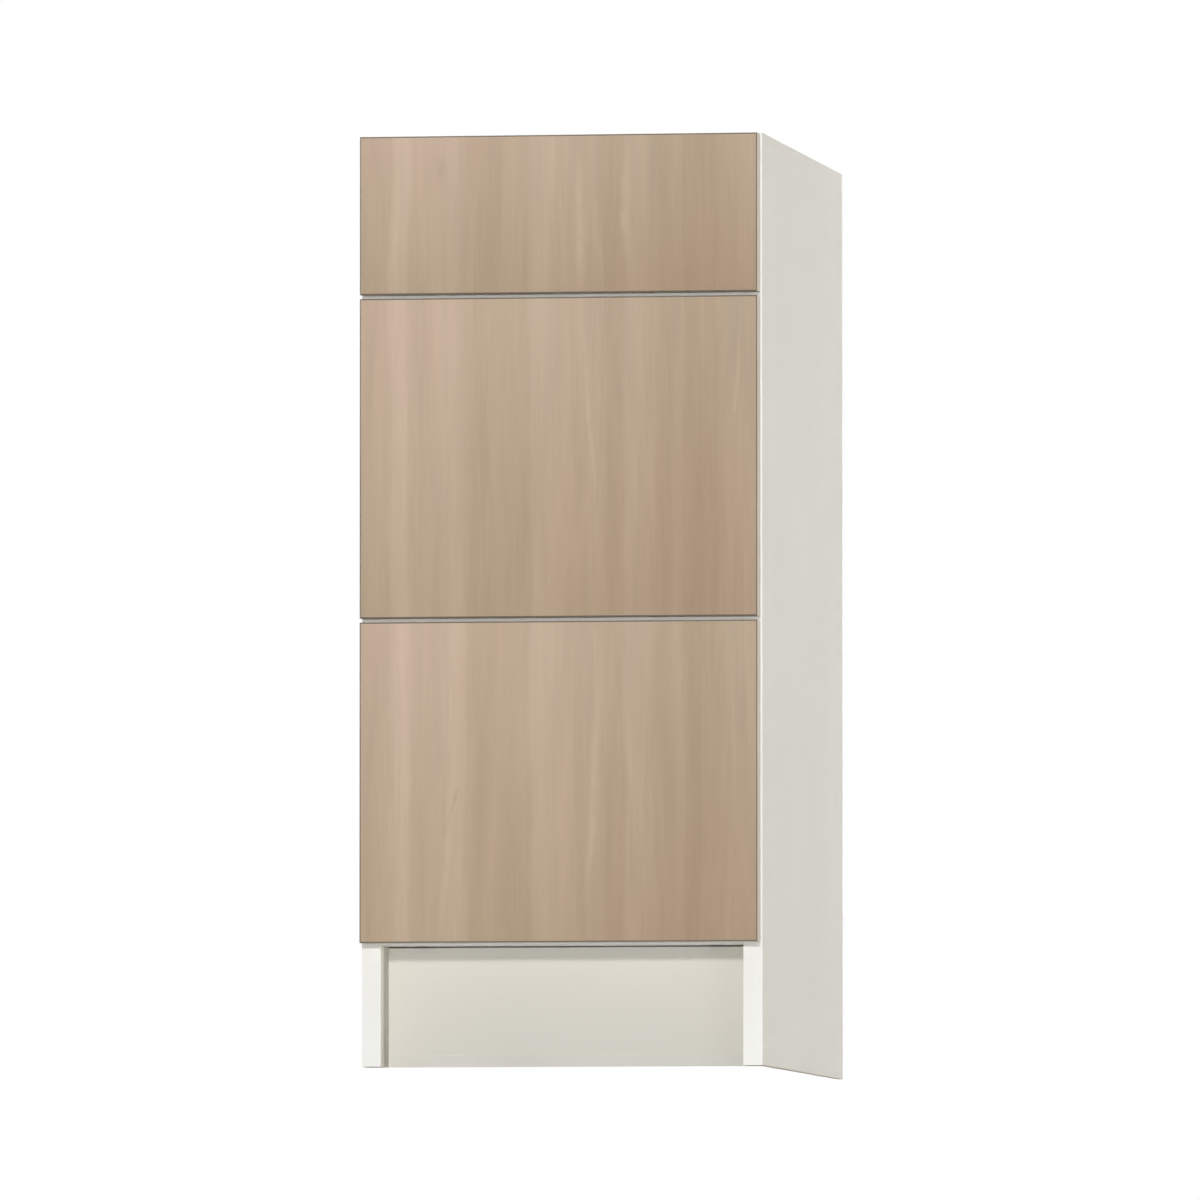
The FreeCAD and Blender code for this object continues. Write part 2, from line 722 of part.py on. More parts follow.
def leveller_bracket(name, side, y):
    """Boss with a bore for the spindle, on a plate against the gable."""
    at = inward(side)
    bracket = new_body(name)
    block = rectangle(ZERO, at(u_foot + s.boss_radius), -s.boss_radius, s.boss_radius)
    boss = chamfered(block, s.boss_chamfer, (1, 2))
    pad(bracket, name + "_boss", "XY", [boss], s.boss_height)
    plate = rectangle(ZERO, at(s.pad_plate), s.pad_depth / -2, s.pad_depth / 2)
    pad(bracket, name + "_plate", "XY", [plate], s.boss_height + s.pad_rise)
    bore = many_sided(at(u_foot), ZERO, s.spindle_radius + s.spindle_play, ROUND_FLATS)
    pocket(bracket, name + "_bore", "XY", [bore], s.boss_height, True)
    return place(bracket, across(side, ZERO), y, z_boss)


def levelling_foot(name, side, y):
    """Disc, hexagon to turn it by, and spindle."""
    foot = new_body(name)
    for kind, radius, flats, top in (
        ("disc", s.foot_radius, ROUND_FLATS, s.foot_height),
        ("hexagon", s.nut_radius, NUT_FLATS, s.foot_height + s.nut_height),
        ("spindle", s.spindle_radius, ROUND_FLATS, z_bottom - s.spindle_clear),
    ):
        pad(foot, f"{name}_{kind}", "XY", [many_sided(ZERO, ZERO, radius, flats)], top)
    return place(foot, across(side, u_foot), y)


def make_levellers():
    """A bracket and a screw foot near each corner, hidden by the plinth and the rear rail."""
    half = s.pad_depth / 2
    rows = {
        "front": y_plinth + s.plinth_thickness + s.seal_wall + s.bracket_clear + half,
        "rear": y_tie - s.bracket_clear - half,
    }
    brackets = []
    for end, y in rows.items():
        for label, side in SIDES.items():
            brackets.append(leveller_bracket(f"leveller_bracket_{end}_{label}", side, y))
            name = f"levelling_foot_{end}_{label}"
            keep(name, levelling_foot(name, side, y))
    keep("leveller_brackets", group("leveller_brackets", brackets))


def cabinet_rail(name, bay, side):
    """Rolled channel screwed to the gable, with a lug at its rear that the push latch works against."""
    at = inward(side)
    steel, far, lip = s.runner_steel, s.channel_width, s.channel_width - s.lip_reach
    rail = new_body(name)
    profile = [
        (ZERO, ZERO),
        (at(far), ZERO),
        (at(far), v_lip + steel),
        (at(lip), v_lip + steel),
        (at(lip), v_lip),
        (at(far - steel), v_lip),
        (at(far - steel), steel),
        (at(steel), steel),
        (at(steel), s.flange_height),
        (ZERO, s.flange_height),
    ]
    pad(rail, name + "_channel", "XZ", [profile], y_runner_end - y_runner, backward=True)
    lug = y_side_end + s.latch_gap - y_runner
    end = at(far + s.lug_width)
    foot = rectangle(at(far - steel), end, lug - s.lug_foot, lug + steel)
    pad(rail, name + "_lug_foot", "XY", [foot], steel)
    upright = rectangle(at(far + s.latch_inset), end, lug, lug + steel)
    pad(rail, name + "_lug", "XY", [upright], s.lug_height)
    hole = s.screw_radius + s.rail_hole_play
    holes = [many_sided(y - y_runner, v_screw, hole, FLUTES) for y in y_screws]
    pocket(rail, name + "_holes", "YZ", holes, steel, side < 0)
    return place(rail, across(side, ZERO), y_runner, bay.runner)


def carrier_rail(name, bay, side):
    """Middle rail: an I-section that runs in the cabinet rail and carries the drawer rail."""
    web, foot = s.carrier_steel / 2, rail_width / 2
    head = foot - s.slide_rail_steel - s.head_play
    rail = new_body(name)
    profile = [
        (-foot, v_foot_low),
        (foot, v_foot_low),
        (foot, v_foot_high),
        (web, v_foot_high),
        (web, v_head_low),
        (head, v_head_low),
        (head, v_head_high),
        (-head, v_head_high),
        (-head, v_head_low),
        (-web, v_head_low),
        (-web, v_foot_high),
        (-foot, v_foot_high),
    ]
    length = y_runner_end - s.carrier_short - y_carrier
    pad(rail, name + "_section", "XZ", [profile], length, backward=True)
    return place(rail, across(side, u_rails), y_carrier, bay.runner)


def slide_rail(name, bay, side):
    """Drawer rail: an upturned channel whose hooks reach under the middle rail's upper flange."""
    half, steel = rail_width / 2, s.slide_rail_steel
    tip, wall, low = half - s.hook_reach, half - steel, v_hook - steel
    rail = new_body(name)
    profile = [
        (-half, low),
        (-tip, low),
        (-tip, v_hook),
        (-wall, v_hook),
        (-wall, v_cap),
        (wall, v_cap),
        (wall, v_hook),
        (tip, v_hook),
        (tip, low),
        (half, low),
        (half, v_deck),
        (-half, v_deck),
    ]
    length = y_side_end - s.slide_rail_short - y_side
    pad(rail, name + "_section", "XZ", [profile], length, backward=True)
    return place(rail, across(side, u_rails), y_side, bay.runner)


def steel_side(name, bay, side):
    """Folded double wall, open below, with a ledge inward for the base."""
    at = inward(side)
    steel, outer, inner, ledge = s.side_steel, s.side_offset, u_inner, u_inner + s.ledge_reach
    inside_round = s.side_round - steel
    panel = new_body(name)
    profile = [
        (at(outer), v_deck),
        (at(outer), v_side_top, s.side_round),
        (at(inner), v_side_top, s.side_round),
        (at(inner), v_ledge),
        (at(ledge), v_ledge),
        (at(ledge), v_deck),
        (at(inner - steel), v_deck),
        (at(inner - steel), v_side_top - steel, inside_round),
        (at(outer + steel), v_side_top - steel, inside_round),
        (at(outer + steel), v_deck),
    ]
    pad(panel, name + "_fold", "XZ", [profile], y_side_end - y_side, backward=True)
    return place(panel, across(side, ZERO), y_side, bay.runner)


def gallery_plug(low_height):
    """Section of the plug inside a gallery tube, centred across and low_height up."""
    shrink = s.gallery_wall + s.plug_play
    half_width, half_height = s.gallery_width / 2 - shrink, s.gallery_height / 2 - shrink
    return rectangle(-half_width, half_width, low_height - half_height, low_height + half_height)


def front_bracket(name, bay, side):
    """Plate behind the front with a tongue inside the steel side."""
    at = inward(side)
    near = s.side_offset + s.side_steel
    height = v_tongue_top - v_ledge
    bracket = new_body(name)
    plate = rectangle(at(s.side_offset), at(u_inner), ZERO, s.front_plate)
    pad(bracket, name + "_plate", "XY", [plate], height)
    tongue = rectangle(at(near), at(near + s.front_plate), ZERO, s.front_plate + s.front_tongue)
    pad(bracket, name + "_tongue", "XY", [tongue], height)
    return place(bracket, across(side, ZERO), y_front_back, bay.runner + v_ledge)


def gallery_holder(name, bay, side):
    """Plate behind the front of a deep drawer with a plug for the gallery tube."""
    half_width = s.gallery_width / 2 + s.holder_margin
    half_height = s.gallery_height / 2 + s.holder_margin
    holder = new_body(name)
    plate = rectangle(-half_width, half_width, -half_height, half_height)
    pad(holder, name + "_plate", "XZ", [plate], s.front_plate, backward=True)
    depth = s.front_plate + s.plug_length
    pad(holder, name + "_plug", "XZ", [gallery_plug(ZERO)], depth, backward=True)
    return place(holder, across(side, u_gallery), y_front_back, bay.runner + bay.gallery)


def rear_bracket(name, bay, side):
    """Wing behind the back board with a tongue inside the steel side; deep ones also hold the gallery."""
    at = inward(side)
    bracket = new_body(name)
    near = s.side_offset + s.side_steel - u_gallery
    wing_far = u_board + s.rear_wing - u_gallery
    wing = rectangle(at(near), at(wing_far), ZERO, s.rear_plate)
    pad(bracket, name + "_wing", "XY", [wing], bay.back_top - v_ledge)
    tongue = rectangle(at(near), at(near + s.rear_plate), -s.rear_tongue, s.rear_plate)
    pad(bracket, name + "_tongue", "XY", [tongue], v_tongue_top - v_ledge)
    if bay.deep:
        half_width = s.gallery_width / 2 + s.holder_margin
        level = bay.gallery - v_ledge
        top = level + s.gallery_height / 2 + s.holder_margin
        plate = rectangle(-half_width, half_width, v_tongue_top - v_ledge, top)
        pad(bracket, name + "_holder", "XZ", [plate], s.rear_plate, backward=True)
        pad(bracket, name + "_plug", "XZ", [gallery_plug(level)], s.plug_length)
    return place(bracket, across(side, u_gallery), y_side_end, bay.runner + v_ledge)


def gallery_rail(name, bay, side):
    """Flat tube above the steel side of a deep drawer."""
    half_width, half_height, wall = s.gallery_width / 2, s.gallery_height / 2, s.gallery_wall
    tube = new_body(name)
    outer = rectangle(-half_width, half_width, -half_height, half_height)
    bore = rectangle(wall - half_width, half_width - wall, wall - half_height, half_height - wall)
    outlines = [chamfered(outer, s.gallery_chamfer, range(4)), bore]
    pad(tube, name + "_tube", "XZ", outlines, y_side_end - y_side, backward=True)
    return place(tube, across(side, u_gallery), y_side, bay.runner + bay.gallery)


def push_latch(name, bay, side):
    """Closed push-latch module under the base, beside the runner."""
    at = inward(side)
    width, length, chamfer = s.latch_width, s.latch_length, s.latch_chamfer
    case = [
        (at(chamfer), ZERO),
        (at(width - chamfer), ZERO),
        (at(width), -chamfer),
        (at(width), chamfer - length),
        (at(width - chamfer), -length),
        (at(chamfer), -length),
        (ZERO, chamfer - length),
        (ZERO, -chamfer),
    ]
    latch = new_body(name)
    pad(latch, name + "_case", "XY", [case], s.latch_height)
    u = u_inner + s.ledge_reach + s.latch_inset
    return place(latch, across(side, u), y_side_end, bay.runner + v_ledge - s.latch_height)


def front_strips(prefix, bay):
    """Edge strips round a front: the upright ones run through, the lying ones fit between."""
    edge, chamfer, deep = s.front_edging, s.edging_chamfer, s.front_thickness
    strips = []
    for label, side in SIDES.items():
        far = edge * side
        section = chamfered(rectangle(ZERO, far, ZERO, deep), chamfer, (1, 2))
        x, height = (half_front - edge) * side, bay.front_high - bay.front_low
        strips.append(strip(f"{prefix}_{label}_strip", "XY", section, height, x, y_face, bay.front_low))
    for label, sign, z in (("low", -1, bay.front_low + edge), ("high", 1, bay.front_high - edge)):
        far = edge * sign
        section = chamfered(rectangle(ZERO, deep, ZERO, far), chamfer, (2, 3))
        x = edge - half_front
        strips.append(strip(f"{prefix}_{label}_strip", "YZ", section, x * -2, x, y_face, z))
    return strips


def drawer_boards(prefix, bay):
    """Front, base and back board of one drawer."""
    edge = s.front_edging
    x_front, z_front = half_front - edge, bay.front_low + edge
    front_height = bay.front_high - edge - z_front
    x_board, z_base = half_in - u_board, bay.runner + v_ledge
    y_back, z_back = y_side_end - s.rear_thickness, bay.runner + v_base_top
    back_height = bay.back_top - v_base_top
    base_depth = y_side_end - y_front_back
    return {
        "front": box(
            f"{prefix}_front", -x_front, y_face, z_front, x_front * 2, s.front_thickness, front_height
        ),
        "base": box(
            f"{prefix}_base", -x_board, y_front_back, z_base, x_board * 2, base_depth, s.base_thickness
        ),
        "back": box(
            f"{prefix}_back", -x_board, y_back, z_back, x_board * 2, s.rear_thickness, back_height
        ),
    }


def make_drawer(prefix, bay):
    """One drawer with its runners."""

    def pair(kind, maker):
        return [maker(f"{prefix}_{label}_{kind}", bay, side) for label, side in SIDES.items()]

    for kind, board in drawer_boards(prefix, bay).items():
        keep(f"{prefix}_{kind}", board)
    for kind, maker in (("side", steel_side), ("carrier", carrier_rail)):
        for label, piece in zip(SIDES, pair(kind, maker)):
            keep(f"{prefix}_{kind}_{label}", piece)
    sets = {
        "front_edging": front_strips(prefix, bay),
        "front_brackets": pair("front_bracket", front_bracket),
        "rear_brackets": pair("rear_bracket", rear_bracket),
        "slide_rails": pair("slide_rail", slide_rail),
        "push_latches": pair("push_latch", push_latch),
        "cabinet_rails": pair("cabinet_rail", cabinet_rail),
    }
    if bay.deep:
        sets["front_brackets"] += pair("gallery_holder", gallery_holder)
        sets["gallery_rails"] = pair("gallery_rail", gallery_rail)
    for kind, pieces in sets.items():
        keep(f"{prefix}_{kind}", group(f"{prefix}_{kind}", pieces))


def check_and_export():
    """Stops on any failed object or bad solid, then writes one file for each node."""
    doc.recompute()
    for piece in doc.Objects:
        if {"Invalid", "Error"} & set(piece.State):
            raise RuntimeError(f"{piece.Label} failed: {piece.State}")
    for name, piece in nodes.items():
        if piece.Shape.isNull() or not piece.Shape.isValid() or not piece.Shape.Solids:
            raise RuntimeError(f"{name} has no valid solid")
    os.makedirs("parts", exist_ok=True)
    for name, piece in nodes.items():
        piece.Shape.exportStep(f"parts/{name}.step")
    print(f"{len(nodes)} nodes, {sum(len(piece.Shape.Solids) for piece in nodes.values())} solids")


make_gables()
make_carcass_boards()
make_plinth_seal()
make_carcass_edging()
make_cams()
make_dowels()
make_runner_screws()
make_levellers()
for bay_name, bay_places in BAYS.items():
    make_drawer(bay_name, bay_places)
check_and_export()
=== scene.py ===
import logging
import math
from abc import ABC, abstractmethod
from dataclasses import dataclass, field
from enum import Enum
from functools import reduce
from typing import Any, ClassVar, Iterable, Mapping, Sequence, Union

import bmesh
import bpy
from mathutils import Matrix, Vector
from mathutils.geometry import tessellate_polygon


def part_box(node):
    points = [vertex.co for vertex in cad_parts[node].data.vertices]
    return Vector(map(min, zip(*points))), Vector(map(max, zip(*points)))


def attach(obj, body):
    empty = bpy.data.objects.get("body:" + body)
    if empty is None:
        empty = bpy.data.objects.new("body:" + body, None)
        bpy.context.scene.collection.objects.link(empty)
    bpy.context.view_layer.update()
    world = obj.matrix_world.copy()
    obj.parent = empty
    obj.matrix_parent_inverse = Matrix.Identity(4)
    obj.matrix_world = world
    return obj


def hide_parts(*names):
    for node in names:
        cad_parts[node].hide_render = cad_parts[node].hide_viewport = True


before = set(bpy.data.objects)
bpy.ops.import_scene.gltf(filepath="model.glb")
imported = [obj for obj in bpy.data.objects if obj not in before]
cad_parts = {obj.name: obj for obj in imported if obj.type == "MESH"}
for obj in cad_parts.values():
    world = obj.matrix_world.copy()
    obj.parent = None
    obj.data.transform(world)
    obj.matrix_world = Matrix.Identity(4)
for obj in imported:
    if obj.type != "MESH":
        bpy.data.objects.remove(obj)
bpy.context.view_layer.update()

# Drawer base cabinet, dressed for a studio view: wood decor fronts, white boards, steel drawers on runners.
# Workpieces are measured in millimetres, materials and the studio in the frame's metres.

MM = 0.001
HALF_INSIDE = 181.0
RAIL_STEEL = 1.5
RAIL_SCREW_LEVEL = 37.0
RAIL_SCREWS = (-232.0, 184.0)
HEAD_LEVEL_SHARES = (0.35, 0.45, 1.0)
HEAD_RADIUS_SHARES = (0.93, 0.62, 0.14)
BLACK = (0.0, 0.0, 0.0, 1.0)
WHITE = (1.0, 1.0, 1.0, 1.0)
log = logging.getLogger("cabinet")

Point = tuple[float, float]
Triple = tuple[float, float, float]
Colour = tuple[float, float, float, float]
Outline = Sequence[Point]
Socket = bpy.types.NodeSocket
Feed = Union[Socket, float, tuple]


class Axis(Enum):
    """An axis of the frame, with the two axes that an outline across it is drawn in."""

    X = (0, 1, 2)
    Y = (1, 0, 2)
    Z = (2, 0, 1)

    def point(self, across: Point, along: float) -> Vector:
        """Point of the frame, from its place in an outline and its place along the axis."""
        return Vector([part for _, part in sorted(zip(self.value, (along, *across)))])


class Named(Enum):
    """An option that node names spell out."""

    @property
    def label(self) -> str:
        """Word used in node names."""
        return self.name.lower()


class Side(Named):
    """Left or right half of the cabinet, as the sign of X."""

    LEFT = -1
    RIGHT = 1

    def x(self, inward: float) -> float:
        """X of a point that far inward from this side's gable."""
        return self.value * (HALF_INSIDE - inward)

    def span(self, near: float, far: float) -> list[float]:
        """Lower and higher X of what lies between two places that far inward."""
        return sorted((self.x(near), self.x(far)))


class Bay(Named):
    """A drawer's place: the height of its runners' undersides, and whether it is a deep drawer."""

    UPPER = (780.0, False)
    CENTRE = (460.0, True)
    LOWER = (140.0, True)

    def __init__(self, runner: float, deep: bool) -> None:
        """Keeps both."""
        self.runner, self.deep = runner, deep


def shade(*display: int) -> Colour:
    """Linear colour of a display colour's red, green and blue, 0 to 255."""
    parts = (part / 255 for part in display)
    return (*(v / 12.92 if v <= 0.04045 else ((v + 0.055) / 1.055) ** 2.4 for v in parts), 1.0)


def node_span(name: str) -> tuple[Vector, Vector]:
    """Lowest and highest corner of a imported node, in millimetres."""
    low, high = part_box(name)
    return Vector(low) / MM, Vector(high) / MM


def preset(thing: Any, **settings: object) -> Any:
    """Sets a thing's properties.

    Args:
        thing: A node, modifier, lens or lamp.
        **settings: Its properties.

    Returns:
        The thing.
    """
    for key, value in settings.items():
        setattr(thing, key, value)
    return thing


def placed(name: str, data: bpy.types.ID) -> bpy.types.Object:
    """Adds an object to the scene.

    Args:
        name: Its name.
        data: Its mesh, light or lens.

    Returns:
        The object.
    """
    made = bpy.data.objects.new(name, data)
    bpy.context.scene.collection.objects.link(made)
    return made


# Wiring of materials


def emptied(owner: Union[bpy.types.Material, bpy.types.World]) -> bpy.types.NodeTree:
    """Empties the node tree of a material or world.

    Args:
        owner: The material or world.

    Returns:
        Its tree.
    """
    owner.use_nodes = True
    owner.node_tree.nodes.clear()
    return owner.node_tree


class Wiring:
    """Adds nodes to one node tree and links them."""

    def __init__(self, tree: bpy.types.NodeTree) -> None:
        """Starts on that tree."""
        self.tree = tree

    def add(self, kind: str, feeds: Mapping[Any, Feed] | None = None, **settings: object) -> bpy.types.Node:
        """Adds a shader node.

        Args:
            kind: Node type, without its prefix.
            feeds: What goes into its inputs, by name or number.
            **settings: Its properties.

        Returns:
            The new node.
        """
        node = preset(self.tree.nodes.new("ShaderNode" + kind), **settings)
        for key, value in (feeds or {}).items():
            self.feed(node.inputs[key], value)
        return node

    def feed(self, socket: Socket, value: Feed) -> None:
        """Links an input, or sets its own value.

        Args:
            socket: The input.
            value: What goes into it.
        """
        if isinstance(value, Socket):
            self.tree.links.new(value, socket)
        else:
            socket.default_value = value

    def math(self, operation: str, *values: Feed) -> Socket:
        """Result of one math node."""
        return self.add("Math", dict(enumerate(values)), operation=operation).outputs[0]

    def times(self, *values: Feed) -> Socket:
        """Product of several values."""
        return reduce(lambda one, other: self.math("MULTIPLY", one, other), values)

    def plus(self, *values: Feed) -> Socket:
        """Sum of several values."""
        return reduce(lambda one, other: self.math("ADD", one, other), values)

    def vector(self, operation: str, *values: Feed) -> Socket:
        """Result of one vector math node."""
        node = self.add("VectorMath", dict(enumerate(values)), operation=operation)
        return node.outputs["Value" if operation in ("DOT_PRODUCT", "LENGTH") else "Vector"]

    def blend(self, share: Feed, under: Feed, over: Feed, mode: str = "MIX") -> Socket:
        """Mixes that share of the second colour into the first."""
        feeds = {0: share, 6: under, 7: over}
        return self.add("Mix", feeds, data_type="RGBA", blend_type=mode).outputs[2]

    def mix(self, share: Feed, under: Socket, over: Socket) -> Socket:
        """Mixes that share of the second shader into the first."""
        return self.add("MixShader", {0: share, 1: under, 2: over}).outputs[0]

    def remap(self, value: Feed, low: float, high: float, start: float = 0.0, end: float = 1.0) -> Socket:
        """Maps the range from low to high onto that from start to end, and holds its ends."""
        feeds = {"Value": value, "From Min": low, "From Max": high, "To Min": start, "To Max": end}
        return self.add("MapRange", feeds, clamp=True).outputs["Result"]

    def noise(
        self,
        size: Feed,
        octaves: float = 2.0,
        rough: float = 0.5,
        warp: float = 0.0,
        where: Feed | None = None,
    ) -> Socket:
        """Noise about 0.5 with that many waves per metre, at a place or in the piece's own coordinates."""
        feeds = {"Vector": where or self.place(), "Scale": size, "Detail": octaves, "Roughness": rough}
        return self.add("TexNoise", {**feeds, "Distortion": warp}).outputs["Fac"]

    def ramp(self, value: Feed, stops: Sequence[tuple[float, Colour]]) -> Socket:
        """Colour read from a row of stops.

        Args:
            value: Where it is read.
            stops: Place from 0 to 1 and colour of each.

        Returns:
            The colour socket.
        """
        node = self.add("ValToRGB", {"Fac": value})
        row = node.color_ramp.elements
        row[0].position, row[0].color = stops[0]
        row[1].position, row[1].color = stops[-1]
        for place, colour in stops[1:-1]:
            row.new(place).color = colour
        return node.outputs["Color"]

    def place(self, stretch: Feed | None = None) -> Socket:
        """The piece's own coordinates in metres, each times its stretch if one is given."""
        where = self.add("TexCoord").outputs["Object"]
        return self.vector("MULTIPLY", where, stretch) if stretch else where

    def facing(self, towards: Feed) -> Socket:
        """How far the surface faces that way in the piece's own coordinates, from -1 to 1."""
        return self.vector("DOT_PRODUCT", self.add("TexCoord").outputs["Normal"], towards)


class Coat(Wiring):
    """A new material with one shader, and its wiring."""

    def __init__(self, title: str) -> None:
        """Makes the material.

        Args:
            title: Its name.
        """
        super().__init__(emptied(bpy.data.materials.new(title)))
        shader = self.add("BsdfPrincipled")
        self.add("OutputMaterial", {"Surface": shader.outputs[0]})
        self.shader = shader.inputs

    def drift(self, tone: Feed, face: Colour, share: float) -> Socket:
        """The face colour, down to that share of its brightness where the tone is low."""
        dull = (*(part * share for part in face[:3]), 1.0)
        return self.blend(self.remap(tone, 0.3, 0.7), dull, face)

    def show(self, colour: Feed, rough: Feed, height: Feed, depth: float) -> None:
        """Feeds the shader.

        Args:
            colour: Colour over the surface.
            rough: Roughness over the surface.
            height: Height over the surface, about 0 to 1.
            depth: Height of one step, in metres.
        """
        bump = self.add("Bump", {"Height": height, "Distance": depth, "Strength": 1.0}).outputs[0]
        for name, value in (("Base Color", colour), ("Roughness", rough), ("Normal", bump)):
            self.feed(self.shader[name], value)


# Effects shared by several finishes


class Effect(Wiring, ABC):
    """A shader node group with named inputs and outputs, built once and placed in each material."""

    inputs: ClassVar[dict[str, Union[float, Triple]]]
    outputs: ClassVar[tuple[str, ...]] = ("Mask",)

    def __init__(self) -> None:
        """Makes the group's tree and sockets, and wires it."""
        super().__init__(bpy.data.node_groups.new(type(self).__name__, "ShaderNodeTree"))
        face = self.tree.interface
        for name, value in self.inputs.items():
            kind = "NodeSocketVector" if isinstance(value, tuple) else "NodeSocketFloat"
            face.new_socket(name=name, in_out="INPUT", socket_type=kind).default_value = value
        for name in self.outputs:
            kind = "NodeSocketColor" if name == "Colour" else "NodeSocketFloat"
            face.new_socket(name=name, in_out="OUTPUT", socket_type=kind)
        self.given = self.tree.nodes.new("NodeGroupInput").outputs
        self.leave = self.tree.nodes.new("NodeGroupOutput").inputs
        self.lay()

    @abstractmethod
    def lay(self) -> None:
        """Wires the group, from what it is given to what it gives."""

    def give(self, **results: Feed) -> None:
        """Feeds the group's outputs, by name."""
        for name, value in results.items():
            self.feed(self.leave[name], value)

    @classmethod
    def apply(cls, wires: Wiring, **values: Feed) -> Mapping[str, Socket]:
        """Places the group in a material.

        Args:
            wires: The material's wiring.
            **values: Its inputs.

        Returns:
            Its output sockets, by name.
        """
        node = wires.tree.nodes.new("ShaderNodeGroup")
        node.node_tree = bpy.data.node_groups.get(cls.__name__) or cls().tree
        for name, value in values.items():
            wires.feed(node.inputs[name], value)
        return node.outputs


class EdgeWear(Effect):
    """Rubbed arrises, broken up by noise."""

    inputs = {"Radius": 0.0012, "Patch": 60.0, "Amount": 1.0}

    def lay(self) -> None:
        """Compares the rounded normal with the true one."""
        soft = self.add("Bevel", {"Radius": self.given["Radius"]}, samples=4).outputs["Normal"]
        hard = self.add("NewGeometry").outputs["Normal"]
        turn = self.math("SUBTRACT", 1.0, self.vector("DOT_PRODUCT", soft, hard))
        patch = self.remap(self.noise(self.given["Patch"], 3.0, 0.6), 0.38, 0.72)
        self.give(Mask=self.times(self.remap(turn, 0.02, 0.22), patch, self.given["Amount"]))


class SettledDust(Effect):
    """Fine dust where a surface faces up."""

    inputs = {"Patch": 22.0, "Amount": 0.3}

    def lay(self) -> None:
        """Upward faces times cloudy noise and fine specks."""
        level = self.remap(self.facing((0.0, 0.0, 1.0)), 0.45, 0.95)
        cloud = self.remap(self.noise(self.given["Patch"], 3.0, 0.55), 0.35, 0.75, 0.25, 1.0)
        speck = self.remap(self.noise(900.0, 1.0), 0.45, 0.7, 0.6, 1.0)
        self.give(Mask=self.times(level, cloud, speck, self.given["Amount"]))


class PressedSkin(Effect):
    """Fine pebbled surface of melamine, lacquer, powder coat and moulded plastic."""

    inputs = {"Fineness": 700.0, "Depth": 1.0}
    outputs = ("Height", "Tone")

    def lay(self) -> None:
        """Two sizes of pebble and a slow drift of tone."""
        fine = self.noise(self.given["Fineness"], 2.0, 0.6)
        coarse = self.noise(self.times(self.given["Fineness"], 0.22), 1.0)
        height = self.plus(fine, self.times(coarse, 0.6))
        self.give(Height=self.times(height, self.given["Depth"]), Tone=self.noise(5.0))


class RolledLines(Effect):
    """Long fine lines left by rolling or drawing metal."""

    inputs = {"Stretch": (900.0, 14.0, 900.0)}
    outputs = ("Tone",)

    def lay(self) -> None:
        """Noise drawn out along the rolling direction."""
        self.give(Tone=self.noise(1.0, 4.0, 0.65, where=self.place(self.given["Stretch"])))


class Spangle(Effect):
    """Crystal flakes of a zinc coat."""

    inputs = {"Flakes": 260.0}
    outputs = ("Tone",)

    def lay(self) -> None:
        """One tone for each cell of a warped pattern."""
        wobble = self.noise(300.0)
        shift = self.add("CombineXYZ", {0: wobble, 1: wobble, 2: wobble}).outputs[0]
        feeds = {"Vector": self.vector("ADD", self.place(), shift), "Scale": self.given["Flakes"]}
        cells = self.add("TexVoronoi", feeds).outputs["Color"]
        self.give(Tone=self.add("SeparateColor", {0: cells}).outputs[0])


class BoardCore(Effect):
    """Pressed chips on a board's sawn edges: everywhere but on its two faces."""

    inputs = {"Face": (1.0, 0.0, 0.0)}
    outputs = ("Mask", "Colour", "Height")
    sizes = (380.0, 988.0)
    woods = (
        (0.08, shade(182, 152, 114)),
        (0.35, shade(212, 186, 148)),
        (0.65, shade(226, 205, 170)),
        (0.95, shade(238, 223, 194)),
    )

    def lay(self) -> None:
        """Coarse and fine chips in several woods, lying flat in the board, with dark gaps between them."""
        face = self.given["Face"]
        where = self.place(self.vector("MULTIPLY_ADD", face, (1.7, 1.7, 1.7), (1.0, 1.0, 1.0)))
        cells = [self.add("TexVoronoi", {"Vector": where, "Scale": size}).outputs for size in self.sizes]
        tones = (self.add("SeparateColor", {0: cell["Color"]}).outputs[0] for cell in cells)
        gap = self.remap(cells[0]["Distance"], 0.4, 0.8)
        fibre = self.noise(1600.0, 3.0, 0.7)
        wood = self.ramp(self.times(self.plus(*tones), 0.5), self.woods)
        dark = self.blend(self.times(gap, 0.28), wood, shade(134, 106, 74))
        self.give(
            Mask=self.remap(self.math("ABSOLUTE", self.facing(face)), 0.8, 0.6),
            Colour=self.blend(self.remap(fibre, 0.5, 0.8, 0.0, 0.25), dark, shade(136, 108, 76)),
            Height=self.math("SUBTRACT", fibre, gap),
        )


class WoodFigure(Effect):
    """Grain: soft bands, fine fibres and short pores."""

    inputs = {"Stretch": (1.0, 1.0, 0.02), "Bands": 34.0, "Fibres": 620.0}
    outputs = ("Bands", "Fibres", "Pores")

    def lay(self) -> None:
        """Noise of three widths, drawn out along the grain."""
        where = self.place(self.given["Stretch"])
        flecks = self.noise(900.0, 1.0, where=self.vector("MULTIPLY", where, (1.0, 1.0, 9.0)))
        self.give(
            Bands=self.noise(self.given["Bands"], 4.0, 0.55, 0.35, where),
            Fibres=self.noise(self.given["Fibres"], 3.0, 0.6, where=where),
            Pores=self.remap(flecks, 0.70, 0.78),
        )


